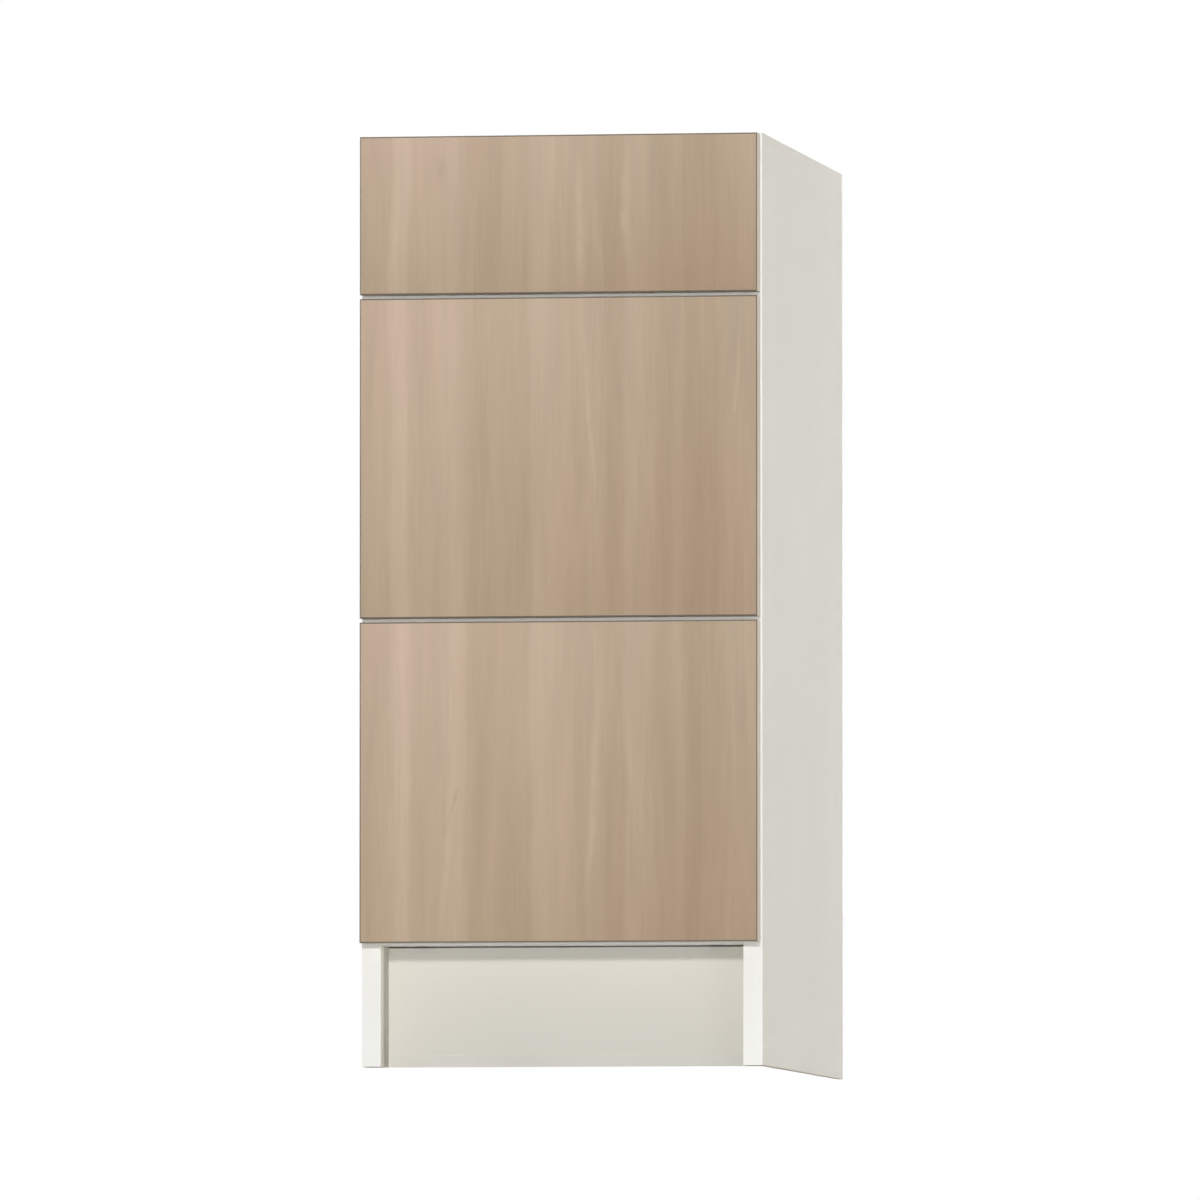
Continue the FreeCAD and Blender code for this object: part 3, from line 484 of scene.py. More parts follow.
class HandlingMarks(Effect):
    """Slanting hairline marks from handling and sliding."""

    inputs = {"Amount": 0.5}

    def lay(self) -> None:
        """Two sets of lines at different slants, kept to a few patches."""
        sets = []
        for tilt, size in ((0.35, 1.0), (-0.8, 1.7)):
            feeds = {"Vector": self.place(), "Angle": tilt}
            turned = self.add("VectorRotate", feeds, rotation_type="X_AXIS").outputs[0]
            drawn = self.vector("MULTIPLY", turned, (260.0, 6.0, 1400.0))
            sets.append(self.remap(self.noise(size, 1.0, where=drawn), 0.70, 0.76))
        patch = self.remap(self.noise(14.0, 1.0), 0.5, 0.62)
        self.give(Mask=self.times(self.math("MAXIMUM", *sets), patch, self.given["Amount"]))


# Finishes


@dataclass(frozen=True)
class Finish(ABC):
    """A finish of the cabinet. Its material is made once."""

    name: str

    @property
    def title(self) -> str:
        """Name of its material."""
        return f"{self.name}_finish"

    def material(self) -> bpy.types.Material:
        """The material, made at its first use.

        Returns:
            The material.
        """
        if self.title not in bpy.data.materials:
            self.dress()
        return bpy.data.materials[self.title]

    @abstractmethod
    def dress(self) -> None:
        """Makes the material."""


@dataclass(frozen=True)
class FigureMark:
    """A single light or dark line in the decor, between two heights of one front."""

    share: float
    lean: float
    half_width: float
    low: float
    high: float
    tint: Colour


@dataclass(frozen=True)
class WoodDecor(Finish):
    """Printed wood decor of a front: upright bands at fixed shares of its width, fine fibres and marks, with
    painted shade falling from head to foot of each front.
    """

    light: Colour = shade(199, 178, 156)
    dark: Colour = shade(173, 151, 127)
    pore: Colour = shade(140, 116, 92)
    half_width: float = 198.5
    bands: tuple[Point, ...] = (
        *((0.0, 0.45), (0.07, 0.6), (0.09, 0.95), (0.115, 1.0), (0.13, 0.7), (0.16, 0.62), (0.24, 0.8)),
        *((0.29, 0.35), (0.42, 0.38), (0.435, 0.65), (0.47, 0.62), (0.54, 0.43), (0.6, 0.4), (0.625, 0.18)),
        *((0.66, 0.2), (0.675, 0.46), (0.73, 0.32), (0.76, 0.1), (0.8, 0.2), (0.83, 0.02), (0.89, 0.05)),
        *((0.93, 0.26), (1.0, 0.3)),
    )
    spans: tuple[Point, ...] = ((121.5, 438.0), (442.0, 758.0), (762.0, 918.5))
    # Painted shade and light: each front's colour is multiplied from foot (darker) to head (lighter), as if
    # lit from above.
    foot: Colour = (0.896, 0.876, 0.832, 1.0)
    head: Colour = (1.094, 1.108, 1.126, 1.0)
    warm: Colour = (1.018, 0.990, 0.992, 1.0)
    cool: Colour = (0.992, 1.002, 0.992, 1.0)
    marks: tuple[FigureMark, ...] = (
        FigureMark(0.576, -0.030, 0.0060, 560.0, 757.0, shade(199, 179, 155)),
        FigureMark(0.105, 0.012, 0.0080, 640.0, 757.0, shade(207, 184, 163)),
        FigureMark(0.092, 0.004, 0.0130, 764.0, 916.0, shade(203, 182, 158)),
        FigureMark(0.555, 0.010, 0.0110, 764.0, 916.0, shade(200, 178, 154)),
        FigureMark(0.668, 0.006, 0.0100, 790.0, 916.0, shade(196, 173, 148)),
        FigureMark(0.945, 0.010, 0.0050, 620.0, 720.0, shade(198, 174, 150)),
        FigureMark(0.205, 0.000, 0.0110, 868.0, 900.0, shade(181, 159, 137)),
        FigureMark(0.232, 0.040, 0.0040, 225.0, 280.0, shade(168, 146, 122)),
        FigureMark(0.225, 0.045, 0.0080, 130.0, 330.0, shade(200, 178, 152)),
        FigureMark(0.585, 0.035, 0.0080, 150.0, 400.0, shade(197, 176, 150)),
        FigureMark(0.120, 0.030, 0.0120, 300.0, 436.0, shade(204, 180, 160)),
    )

    def dress(self) -> None:
        """Bands by the share across the front, a warm drift, painted shade from head to foot of each front,
        and marks.
        """
        coat = Coat(self.title)
        spot = coat.add("SeparateXYZ", {0: coat.place()}).outputs
        share = coat.remap(spot[0], -self.half_width * MM, self.half_width * MM)
        wander = coat.noise(2.2, 3.0, 0.6, where=coat.place((3.0, 1.0, 2.4)))
        across = coat.plus(share, coat.remap(wander, 0.25, 0.75, -0.013, 0.013))
        tone = coat.ramp(across, [(place, (level, level, level, 1.0)) for place, level in self.bands])
        broad = WoodFigure.apply(coat, Stretch=(1.0, 1.0, 0.08), Bands=55.0)
        figure = WoodFigure.apply(coat, Stretch=(1.0, 1.0, 0.035), Fibres=330.0)
        swings = ((broad["Bands"], 0.060), (figure["Fibres"], 0.034))
        tints = [coat.remap(source, 0.3, 0.7, 1.0 - swing, 1.0 + swing) for source, swing in swings]
        cloud = coat.noise(1.0, where=coat.place((9.0, 1.0, 2.6)))
        rise = self.upward(coat, spot[2], BLACK, WHITE)
        saddle = coat.times(coat.math("SUBTRACT", across, 0.5), coat.math("SUBTRACT", rise, 0.5))
        drift = coat.plus(coat.times(saddle, 0.75), coat.times(cloud, 0.3), 0.34)
        tints.append(coat.ramp(drift, ((0.38, self.warm), (0.60, self.cool))))
        # Painted shade: each front is darker at its foot and lighter at its head.
        tints.append(self.upward(coat, spot[2], self.foot, self.head))
        colour = coat.blend(tone, self.dark, self.light)
        for tint in tints:
            colour = coat.blend(1.0, colour, tint, "MULTIPLY")
        for mark in self.marks:
            colour = coat.blend(self.mark_share(coat, mark, across, spot[2]), colour, mark.tint)
        colour = coat.blend(coat.times(figure["Pores"], 0.10), colour, self.pore)
        skin = PressedSkin.apply(coat, Fineness=1500.0, Depth=0.5)
        rough = coat.remap(figure["Fibres"], 0.3, 0.7, 0.62, 0.70)
        coat.shader["Specular IOR Level"].default_value = 0.35
        coat.show(colour, rough, coat.plus(skin["Height"], figure["Fibres"]), 0.00003)

    def upward(self, coat: Coat, height: Feed, foot: Colour, head: Colour) -> Socket:
        """Colour that runs from foot to head in each front."""
        stops = [(level * MM, tint) for span in self.spans for level, tint in zip(span, (foot, head))]
        return coat.ramp(height, stops)

    @staticmethod
    def mark_share(coat: Coat, mark: FigureMark, across: Feed, height: Feed) -> Socket:
        """Where a mark shows: along a leaning line, fading at its ends.

        Args:
            coat: The material's wiring.
            mark: The mark.
            across: Share across the front.
            height: Height above the floor, in metres.

        Returns:
            Share of the mark's tint.
        """
        low, high = mark.low * MM, mark.high * MM
        fade = (high - low) * 0.35
        lean = coat.remap(height, low, high, -mark.lean / 2, mark.lean / 2)
        off = coat.math("ABSOLUTE", coat.math("SUBTRACT", across, coat.plus(lean, mark.share)))
        line = coat.remap(off, mark.half_width * 1.6, 0.0)
        ends = (coat.remap(height, low, low + fade), coat.remap(height, high, high - fade))
        return coat.times(line, *ends, coat.remap(coat.noise(60.0), 0.3, 0.6, 0.35, 0.75))


@dataclass(frozen=True)
class EdgeBand(Finish):
    """Thin plastic strip round a front or on a board's front edge, with a core that its front edge bares."""

    light: Colour = shade(220, 208, 190)
    dark: Colour = shade(210, 196, 176)
    worn: Colour = shade(222, 214, 202)
    core: Colour = shade(98, 86, 71)
    grained: bool = True
    roughness: float = 0.45

    def dress(self) -> None:
        """Grain along the strip and rubbed arrises."""
        coat = Coat(self.title)
        stretch = (1.0, 1.0, 0.05 if self.grained else 1.0)
        figure = WoodFigure.apply(coat, Stretch=stretch, Bands=90.0, Fibres=900.0)
        skin = PressedSkin.apply(coat, Fineness=1200.0, Depth=0.6)
        wear = EdgeWear.apply(coat, Radius=0.0007, Patch=45.0, Amount=0.25)
        colour = coat.blend(coat.remap(figure["Bands"], 0.3, 0.7), self.dark, self.light)
        colour = coat.blend(wear["Mask"], colour, self.worn)
        if self.grained:
            front = coat.remap(coat.facing((0.0, -1.0, 0.0)), 0.45, 0.65)
            colour = coat.blend(front, colour, self.core)
        rough = coat.remap(skin["Tone"], 0.3, 0.7, self.roughness - 0.05, self.roughness + 0.06)
        coat.show(colour, rough, skin["Height"], 0.00003)


@dataclass(frozen=True)
class FacedBoard(Finish):
    """Coated board: a smooth pale face, and pressed chips where its edges are left sawn."""

    face: Colour = shade(240, 239, 234)
    settled: Colour = shade(196, 190, 178)
    across: Triple = (1.0, 0.0, 0.0)
    sawn: bool = True
    dust: float = 0.12
    roughness: float = 0.62
    gloss: float = 0.12

    def dress(self) -> None:
        """Face colour with a slow drift, dust on top and chips on the sawn edges."""
        coat = Coat(self.title)
        skin = PressedSkin.apply(coat, Fineness=900.0, Depth=0.4)
        dust = SettledDust.apply(coat, Patch=18.0, Amount=self.dust)
        colour = coat.blend(dust["Mask"], coat.drift(skin["Tone"], self.face, 0.975), self.settled)
        height = skin["Height"]
        rough = coat.remap(skin["Tone"], 0.3, 0.7, self.roughness - 0.04, self.roughness + 0.04)
        if self.sawn:
            core = BoardCore.apply(coat, Face=self.across)
            colour = coat.blend(core["Mask"], colour, core["Colour"])
            height = coat.plus(height, coat.times(core["Mask"], core["Height"], 6.0))
            rough = coat.plus(coat.times(core["Mask"], 0.35), self.roughness)
        coat.shader["Specular IOR Level"].default_value = self.gloss
        coat.show(colour, rough, height, 0.00003)


@dataclass(frozen=True)
class PowderCoat(Finish):
    """Sprayed and baked coat on folded steel."""

    face: Colour = shade(226, 226, 222)
    worn: Colour = shade(176, 176, 174)
    settled: Colour = shade(190, 184, 172)
    roughness: float = 0.42

    def dress(self) -> None:
        """Pebbled coat with rubbed arrises, faint marks and dust."""
        coat = Coat(self.title)
        skin = PressedSkin.apply(coat, Fineness=1100.0, Depth=1.4)
        wear = EdgeWear.apply(coat, Radius=0.0010, Patch=70.0, Amount=0.35)
        marks = HandlingMarks.apply(coat, Amount=0.25)
        dust = SettledDust.apply(coat, Patch=26.0, Amount=0.10)["Mask"]
        colour = coat.drift(skin["Tone"], self.face, 0.965)
        colour = coat.blend(coat.math("MAXIMUM", wear["Mask"], marks["Mask"]), colour, self.worn)
        colour = coat.blend(dust, colour, self.settled)
        coat.show(colour, coat.plus(coat.times(dust, 0.3), self.roughness), skin["Height"], 0.00004)


@dataclass(frozen=True)
class ZincCoat(Finish):
    """Galvanised or plated steel, rolled, cast or turned."""

    light: Colour = shade(206, 208, 210)
    dark: Colour = shade(158, 161, 165)
    flakes: float = 240.0
    stretch: Triple = (900.0, 14.0, 900.0)
    roughness: float = 0.32
    greasy: bool = False
    bright: Colour = shade(228, 229, 230)
    grease: Colour = shade(150, 142, 118)

    def dress(self) -> None:
        """Flakes and rolling lines, brighter at the arrises, with a trace of grease on sliding steel."""
        coat = Coat(self.title)
        flakes = Spangle.apply(coat, Flakes=self.flakes)["Tone"]
        lines = RolledLines.apply(coat, Stretch=self.stretch)["Tone"]
        wear = EdgeWear.apply(coat, Radius=0.0008, Patch=90.0, Amount=0.6)
        marks = HandlingMarks.apply(coat, Amount=0.6)
        tone = coat.plus(coat.times(flakes, 0.45), coat.times(lines, 0.55))
        colour = coat.blend(tone, self.dark, self.light)
        colour = coat.blend(coat.math("MAXIMUM", wear["Mask"], marks["Mask"]), colour, self.bright)
        rough = coat.remap(tone, 0.2, 0.8, self.roughness - 0.07, self.roughness + 0.10)
        if self.greasy:
            film = coat.remap(coat.noise(1.0, 3.0, where=coat.place((60.0, 8.0, 60.0))), 0.5, 0.7)
            colour = coat.blend(coat.times(film, 0.35), colour, self.grease)
            rough = coat.math("SUBTRACT", rough, coat.times(film, 0.12))
        coat.shader["Metallic"].default_value = 1.0
        coat.show(colour, rough, coat.plus(flakes, lines), 0.00002)


@dataclass(frozen=True)
class MouldedPlastic(Finish):
    """Injection-moulded plastic with a spark-eroded skin."""

    face: Colour = shade(190, 190, 188)
    roughness: float = 0.48
    fineness: float = 1300.0
    worn: Colour = shade(222, 222, 220)
    settled: Colour = shade(188, 182, 170)

    def dress(self) -> None:
        """Slight drift of tone, pale rubbed arrises, dust."""
        coat = Coat(self.title)
        skin = PressedSkin.apply(coat, Fineness=self.fineness, Depth=1.6)
        wear = EdgeWear.apply(coat, Radius=0.0006, Patch=110.0, Amount=0.45)
        dust = SettledDust.apply(coat, Patch=40.0, Amount=0.22)
        colour = coat.blend(wear["Mask"], coat.drift(skin["Tone"], self.face, 0.9), self.worn)
        colour = coat.blend(dust["Mask"], colour, self.settled)
        rough = coat.plus(coat.times(skin["Tone"], 0.1), self.roughness - 0.05)
        coat.show(colour, rough, skin["Height"], 0.00004)


@dataclass(frozen=True)
class BeechDowel(Finish):
    """Turned and fluted beech with short brown flecks."""

    light: Colour = shade(222, 188, 146)
    dark: Colour = shade(196, 156, 112)
    fleck: Colour = shade(140, 98, 64)

    def dress(self) -> None:
        """Grain along the dowel."""
        coat = Coat(self.title)
        figure = WoodFigure.apply(coat, Stretch=(0.05, 1.0, 1.0), Bands=160.0, Fibres=1400.0)
        colour = coat.blend(figure["Bands"], self.dark, self.light)
        colour = coat.blend(coat.times(figure["Pores"], 0.6), colour, self.fleck)
        rough = coat.remap(figure["Fibres"], 0.3, 0.7, 0.55, 0.72)
        coat.show(colour, rough, figure["Fibres"], 0.00006)


class Finishes:
    """Every finish of the cabinet, by use."""

    DECOR = WoodDecor("front_decor")
    FRONT_BAND = EdgeBand("front_edge_band")
    # Painted shade: the gables' face is a darker copy of the white board, standing for the shade on the
    # cabinet's side.
    GABLE = FacedBoard("gable_board", shade(218, 215, 203), dust=0.0)
    LYING_BOARD = FacedBoard("lying_board", across=(0.0, 0.0, 1.0))
    UPRIGHT_BOARD = FacedBoard("upright_board", across=(0.0, 1.0, 0.0))
    # Painted shade: the plinth's face is darker than the white boards, standing for the shade in the recess
    # under the drawers.
    PLINTH = FacedBoard("plinth_board", shade(224, 221, 212), across=(0.0, 1.0, 0.0))
    BACK = FacedBoard("back_board", shade(232, 231, 226), across=(0.0, 1.0, 0.0), roughness=0.58)
    BASE = FacedBoard("drawer_base_board", shade(226, 226, 223), across=(0.0, 0.0, 1.0))
    DRAWER_BACK = FacedBoard("drawer_back_board", shade(226, 226, 223), sawn=False)
    CARCASS_BAND = EdgeBand(
        "carcass_edge_band", shade(242, 241, 236), shade(240, 239, 234), grained=False, roughness=0.42
    )
    DRAWER_SIDE = PowderCoat("drawer_side_coat")
    GALLERY = PowderCoat("gallery_coat", shade(222, 222, 219), roughness=0.38)
    RUNNER = ZincCoat("runner_zinc", greasy=True)
    BRACKET = ZincCoat("bracket_zinc", flakes=420.0, stretch=(500.0, 500.0, 30.0), roughness=0.36)
    CAST_ZINC = ZincCoat("cast_zinc", shade(188, 189, 190), shade(150, 151, 153), 900.0, (200.0,) * 3, 0.42)
    SCREW = ZincCoat(
        "screw_zinc", shade(214, 212, 204), shade(170, 166, 156), 1200.0, (900.0, 900.0, 60.0), 0.28
    )
    # Painted shade: the seal's face takes the plinth's darkened colour, the shade of the recess.
    SEAL = MouldedPlastic("plinth_seal_soft", shade(224, 221, 212), 0.62, 600.0, shade(232, 231, 226))
    LATCH = MouldedPlastic("latch_case_grey", shade(176, 177, 178))
    LATCH_NOSE = MouldedPlastic("latch_nose_pale", shade(226, 226, 224), 0.36)
    ROLLER = MouldedPlastic("roller_nylon", shade(232, 231, 226), 0.34)
    FOOT = MouldedPlastic("foot_black", shade(46, 46, 47), 0.5, worn=shade(98, 98, 98))
    FOOT_BRACKET = MouldedPlastic("foot_bracket_grey", shade(120, 121, 122), worn=shade(168, 168, 168))
    CAP = MouldedPlastic("side_cap_grey", shade(212, 212, 209), 0.4)
    BEECH = BeechDowel("beech_dowel")


# Workpieces


@dataclass
class Workpiece:
    """A mesh under construction, in millimetres, with its finishes by number."""

    name: str
    body: str
    slot: str
    finishes: Sequence[Finish]
    bevel: float = 0.3
    replaced: Sequence[str] = ()
    mesh: bmesh.types.BMesh = field(default_factory=bmesh.new)

    def ring(self, along: Axis, spots: Iterable[Point], at: float) -> list[bmesh.types.BMVert]:
        """Adds the corners of an outline at one place along an axis."""
        return [self.mesh.verts.new(along.point(spot, at)) for spot in spots]

    def extrude(
        self,
        along: Axis,
        outline: Outline,
        low: float,
        high: float,
        holes: Sequence[Outline] = (),
        finish: int = 0,
    ) -> None:
        """Adds a prism.

        Args:
            along: Axis that it runs along.
            outline: Its section, in the other two axes.
            low: Where it starts.
            high: Where it ends.
            holes: Outlines left open in it.
            finish: Number of its finish.
        """
        loops = [list(outline), *map(list, holes)]
        ends = [self.ring(along, sum(loops, []), at) for at in (low, high)]
        near, far = ends
        if holes:
            corners = tessellate_polygon([[Vector((*spot, 0.0)) for spot in loop] for loop in loops])
            ends = [[end[i] for i in corner] for end in ends for corner in corners]
        faces = [self.mesh.faces.new(end) for end in ends]
        start = 0
        for count in map(len, loops):
            for a, b in ((start + k, start + (k + 1) % count) for k in range(count)):
                faces.append(self.mesh.faces.new((near[a], near[b], far[b], far[a])))
            start += count
        self.number(faces, finish)

    def turn(self, along: Axis, centre: Point, profile: Outline, steps: int = 32, finish: int = 0) -> None:
        """Adds a turned solid.

        Args:
            along: Its axis.
            centre: Where the axis passes, in the other two axes.
            profile: Radius and place along the axis of each ring.
            steps: Flats round it.
            finish: Number of its finish.
        """
        rings = []
        for radius, at in profile:
            rings.append(self.ring(along, circle(centre, radius, steps) if radius > 0 else [centre], at))
        faces = [self.mesh.faces.new(ring) for ring in (rings[0], rings[-1]) if len(ring) > 2]
        for near, far in zip(rings, rings[1:]):
            for a, b in ((k, (k + 1) % steps) for k in range(steps)):
                corners = (near[a % len(near)], near[b % len(near)], far[b % len(far)], far[a % len(far)])
                unique = list(dict.fromkeys(corners))
                if len(unique) > 2:
                    faces.append(self.mesh.faces.new(unique))
        self.number(faces, finish)

    def number(self, faces: Sequence[bmesh.types.BMFace], finish: int) -> None:
        """Turns new faces outward and gives them their finish.

        Args:
            faces: The faces of one solid.
            finish: Number of its finish.
        """
        bmesh.ops.recalc_face_normals(self.mesh, faces=faces)
        for face in faces:
            face.material_index = finish
            face.smooth = True

    def screw(
        self,
        along: Axis,
        centre: Point,
        seat: float,
        out: float,
        head: Point,
        finish: int = 0,
    ) -> None:
        """Adds a pan head with a cross recess.

        Args:
            along: Axis of the screw.
            centre: Its place in the other two axes.
            seat: Where its head starts.
            out: Direction in which it stands proud, as a sign.
            head: Radius and height of the head.
            finish: Number of its finish.
        """
        radius, height = head
        waist, floor, top = (seat + out * height * share for share in HEAD_LEVEL_SHARES)
        rim, reach, half = (radius * share for share in HEAD_RADIUS_SHARES)
        drum = ((0.0, seat), (radius, seat), (radius, waist), (rim, floor), (0.0, floor))
        self.turn(along, centre, drum, 24, finish)
        recess = cross(centre, reach, half)
        self.extrude(along, circle(centre, rim), *sorted((floor, top)), (recess,), finish)

    def finish(self) -> None:
        """Turns the workpiece into an object that rides on its body."""
        self.mesh.transform(Matrix.Scale(MM, 4))
        data = bpy.data.meshes.new(self.name)
        self.mesh.to_mesh(data)
        self.mesh.free()
        for item in self.finishes:
            data.materials.append(item.material())
        piece = placed(self.name, data)
        soften(piece, self.bevel)
        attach(piece, self.body)
        if self.replaced:
            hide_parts(*self.replaced)
        log.info("%s: %d faces on %s", self.name, len(data.polygons), self.body)


def soften(piece: bpy.types.Object, width: float) -> None:
    """Joins a piece's level faces, breaks its arrises and evens its shading.

    Args:
        piece: The object.
        width: Width of the broken arris, in millimetres.
    """
    level = piece.modifiers.new("level", "DECIMATE")
    preset(level, decimate_type="DISSOLVE", angle_limit=math.radians(0.4))
    if width > 0:
        arris = preset(piece.modifiers.new("arris", "BEVEL"), width=width * MM, segments=2)
        preset(arris, limit_method="ANGLE", angle_limit=math.radians(40), miter_outer="MITER_ARC")
    preset(piece.modifiers.new("shading", "WEIGHTED_NORMAL"), keep_sharp=False, weight=80)


def dress_packed(finish: Finish, arris: float, *nodes: str) -> None:
    """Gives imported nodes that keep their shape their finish, and breaks their arrises.

    Args:
        finish: The finish.
        arris: Width of the broken arrises, in millimetres.
        *nodes: Names of the nodes.
    """
    for node in nodes:
        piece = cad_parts[node]
        for place in piece.material_slots:
            place.material = finish.material()
        if not piece.material_slots:
            piece.data.materials.append(finish.material())
        if arris > 0:
            preset(piece.modifiers.new("weld", "WELD"), merge_threshold=0.00001)
            soften(piece, arris)
        log.info("%s keeps its shape, finish %s", node, finish.name)


def arc(centre: Point, radius: float, start: float, sweep: float, steps: int) -> list[Point]:
    """Points along an arc, both its ends included."""
    turns = (start + sweep * k / steps for k in range(steps + 1))
    return [(centre[0] + radius * math.cos(turn), centre[1] + radius * math.sin(turn)) for turn in turns]


def circle(centre: Point, radius: float, steps: int = 24) -> list[Point]:
    """Outline of a round."""
    return arc(centre, radius, 0.0, 2 * math.pi, steps)[:-1]


def cross(centre: Point, reach: float, half: float) -> list[Point]:
    """Outline of a driver's cross.

    Args:
        centre: Its centre.
        reach: Length of an arm.
        half: Half the width of an arm.

    Returns:
        Its twelve corners.
    """
    arm = ((reach, -half), (reach, half), (half, half))
    turns = ((1, 0), (0, 1), (-1, 0), (0, -1))
    return [(centre[0] + a * c - b * s, centre[1] + a * s + b * c) for c, s in turns for a, b in arm]


def oblong(centre: Point, length: float, width: float) -> list[Point]:
    """Outline of a slot with round ends, long in its first axis."""
    ends = ((centre[0] + sign * (length - width) / 2, -sign * math.pi / 2) for sign in (1, -1))
    return [spot for a, start in ends for spot in arc((a, centre[1]), width / 2, start, math.pi, 8)]


def plate(a_low: float, a_high: float, b_low: float, b_high: float, corner: float = 0.0) -> list[Point]:
    """Outline of a rectangle.

    Args:
        a_low: Where it starts in its first axis.
        a_high: Where it ends there.
        b_low: Where it starts in its second axis.
        b_high: Where it ends there.
        corner: Radius of its corners.

    Returns:
        Its corners.
    """
    a_in, a_out, b_in, b_out = a_low + corner, a_high - corner, b_low + corner, b_high - corner
    corners = ((a_out, b_in), (a_out, b_out), (a_in, b_out), (a_in, b_in))
    if not corner:
        return [corners[3], *corners[:3]]
    quarter = math.pi / 2
    bends = [arc(spot, corner, (k - 1) * quarter, quarter, 4) for k, spot in enumerate(corners)]
    return sum(bends, [])


def pad(centre: Point, half: Point, corner: float) -> list[Point]:
    """Outline of a rectangle about its centre, with round corners."""
    (a, b), (wide, high) = centre, half
    return plate(a - wide, a + wide, b - high, b + high, corner)


# Sub-assemblies


@dataclass
class Carcass:
    """Gables, bottom, rails, back panel and the strips on their front edges, joined by cams and dowels."""

    arris: float = 0.25
    board: float = 16.0
    cam_radius: float = 7.5
    cam_core: float = 6.75
    cam_gap: float = 0.2
    cam_recess: float = 2.4
    cam_cross: Point = (3.2, 0.7)
    cam_height: float = 12.5
    cam_setback: float = 34.0
    cam_places: tuple[Point, ...] = ((-223.0, 120.0), (218.0, 120.0), (-238.0, 904.0), (193.0, 904.0))
    pointer: tuple[Point, ...] = ((-0.9, 4.4), (0.9, 4.4), (0.0, 6.2))
    bolt_end: float = -11.0
    bolt: tuple[Point, ...] = (
        *((0.0, 0.0), (2.2, 0.4), (2.9, 1.2), (2.9, 10.8), (3.0, 11.2), (3.0, 13.0)),
        *((2.0, 13.4), (2.0, 30.0), (2.9, 31.0), (2.9, 34.5), (1.8, 36.0), (0.0, 36.0)),
    )

    def build(self) -> None:
        """Dresses the boards and makes the cam fittings."""
        dress_packed(Finishes.GABLE, self.arris, "left_gable", "right_gable")
        lying = ("bottom_panel", "front_top_rail", "rear_top_rail", "cross_rails")
        dress_packed(Finishes.LYING_BOARD, self.arris, *lying)
        dress_packed(Finishes.BACK, self.arris, "back_panel")
        dress_packed(Finishes.UPRIGHT_BOARD, self.arris, "rear_tie_rail")
        dress_packed(Finishes.BEECH, self.arris, "wood_dowels")
        dress_packed(Finishes.CARCASS_BAND, 0.12, "carcass_edging")
        self.build_cams()

    def build_cams(self) -> None:
        """Cam housings with a cross recess and a pointer in their lower face, and their bolts."""
        finishes = (Finishes.CAST_ZINC, Finishes.SCREW)
        work = Workpiece("cam_fittings_turned", "carcass", "fitting_zinc", finishes, 0.15, ("cam_fittings",))
        for (y, underside), side in ((place, side) for place in self.cam_places for side in Side):
            centre = (side.x(self.cam_setback), y)
            floor, top = underside + self.cam_recess, underside + self.cam_height
            drum = ((0.0, floor), (self.cam_core, floor), (self.cam_core, top), (0.0, top))
            work.turn(Axis.Z, centre, drum, 36)
            pointer = [(centre[0] + a, centre[1] + b) for a, b in self.pointer]
            rim, recess = circle(centre, self.cam_radius, 36), cross(centre, *self.cam_cross)
            work.extrude(Axis.Z, rim, underside + self.cam_gap, floor, (recess, pointer))
            bolt = [(radius, side.x(self.bolt_end + along)) for radius, along in self.bolt]
            work.turn(Axis.X, (y, underside + self.board / 2), bolt, 16, 1)
        work.finish()


@dataclass
class Plinth:
    """Plinth board between the gables, with its seal."""

    arris: float = 0.3

    def build(self) -> None:
        """Dresses the board and its soft seal."""
        dress_packed(Finishes.PLINTH, self.arris, "plinth_board")
        dress_packed(Finishes.SEAL, self.arris, "plinth_seal")


@dataclass
class Leveller:
    """A screw foot."""

    end: str
    side: Side
    disc_radius: float = 20.0
    disc_height: float = 8.0
    sole_height: float = 1.3
    rim_start: float = 1.2
    crown_start: float = 6.5
    crown_inset: float = 1.6
    crown_radius: float = 9.5
    chamfer: float = 1.4
    grips: int = 20
    grip_depths: tuple[float, ...] = (0.0, 0.5, 1.1, 0.5)
    hexagon_radius: float = 8.0
    hexagon_top: float = 14.0
    spindle_radius: float = 5.0
    spindle_top: float = 92.0
    pitch: float = 2.5
    thread_depth: float = 0.7

    @property
    def node(self) -> str:
        """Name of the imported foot."""
        return f"levelling_foot_{self.end}_{self.side.label}"

    @property
    def centre(self) -> Point:
        """Where its spindle stands."""
        low, high = node_span(self.node)
        return (low.x + high.x) / 2, (low.y + high.y) / 2

    def build(self) -> None:
        """A grip disc, a hexagon and a threaded spindle."""
        node, centre = self.node, self.centre
        work = Workpiece(node + "_turned", node, "foot_plastic", (Finishes.FOOT,), 0.25, (node,))
        radii = [self.disc_radius - depth for depth in self.grip_depths] * self.grips
        grips = [circle(centre, radius, len(radii))[k] for k, radius in enumerate(radii)]
        base, top = self.disc_radius - self.chamfer, self.disc_height
        start, shoulder = self.crown_start, base - self.crown_inset
        sole = ((0.0, 0.0), (base, 0.0), (base, self.sole_height), (0.0, self.sole_height))
        crown = ((0.0, start), (base, start), (shoulder, top), (self.crown_radius, top), (0.0, top))
        work.extrude(Axis.Z, grips, self.rim_start, top - self.chamfer)
        work.turn(Axis.Z, centre, sole, 48)
        work.turn(Axis.Z, centre, crown, 48)
        work.extrude(Axis.Z, circle(centre, self.hexagon_radius, 6), top, self.hexagon_top)
        work.turn(Axis.Z, centre, self.thread(), 20)
        work.finish()

    def thread(self) -> list[Point]:
        """Profile of the spindle's ridges.

        Returns:
            Radius and height of each ring.
        """
        crest, root = self.spindle_radius, self.spindle_radius - self.thread_depth
        profile = [(0.0, self.hexagon_top), (root, self.hexagon_top)]
        at = self.hexagon_top + 0.6
        while at + self.pitch < self.spindle_top - 1.0:
            profile += [(root, at), (crest, at + self.pitch * 0.4), (crest, at + self.pitch * 0.55)]
            at += self.pitch
        return [*profile, (root, at), (root - 0.5, self.spindle_top), (0.0, self.spindle_top)]


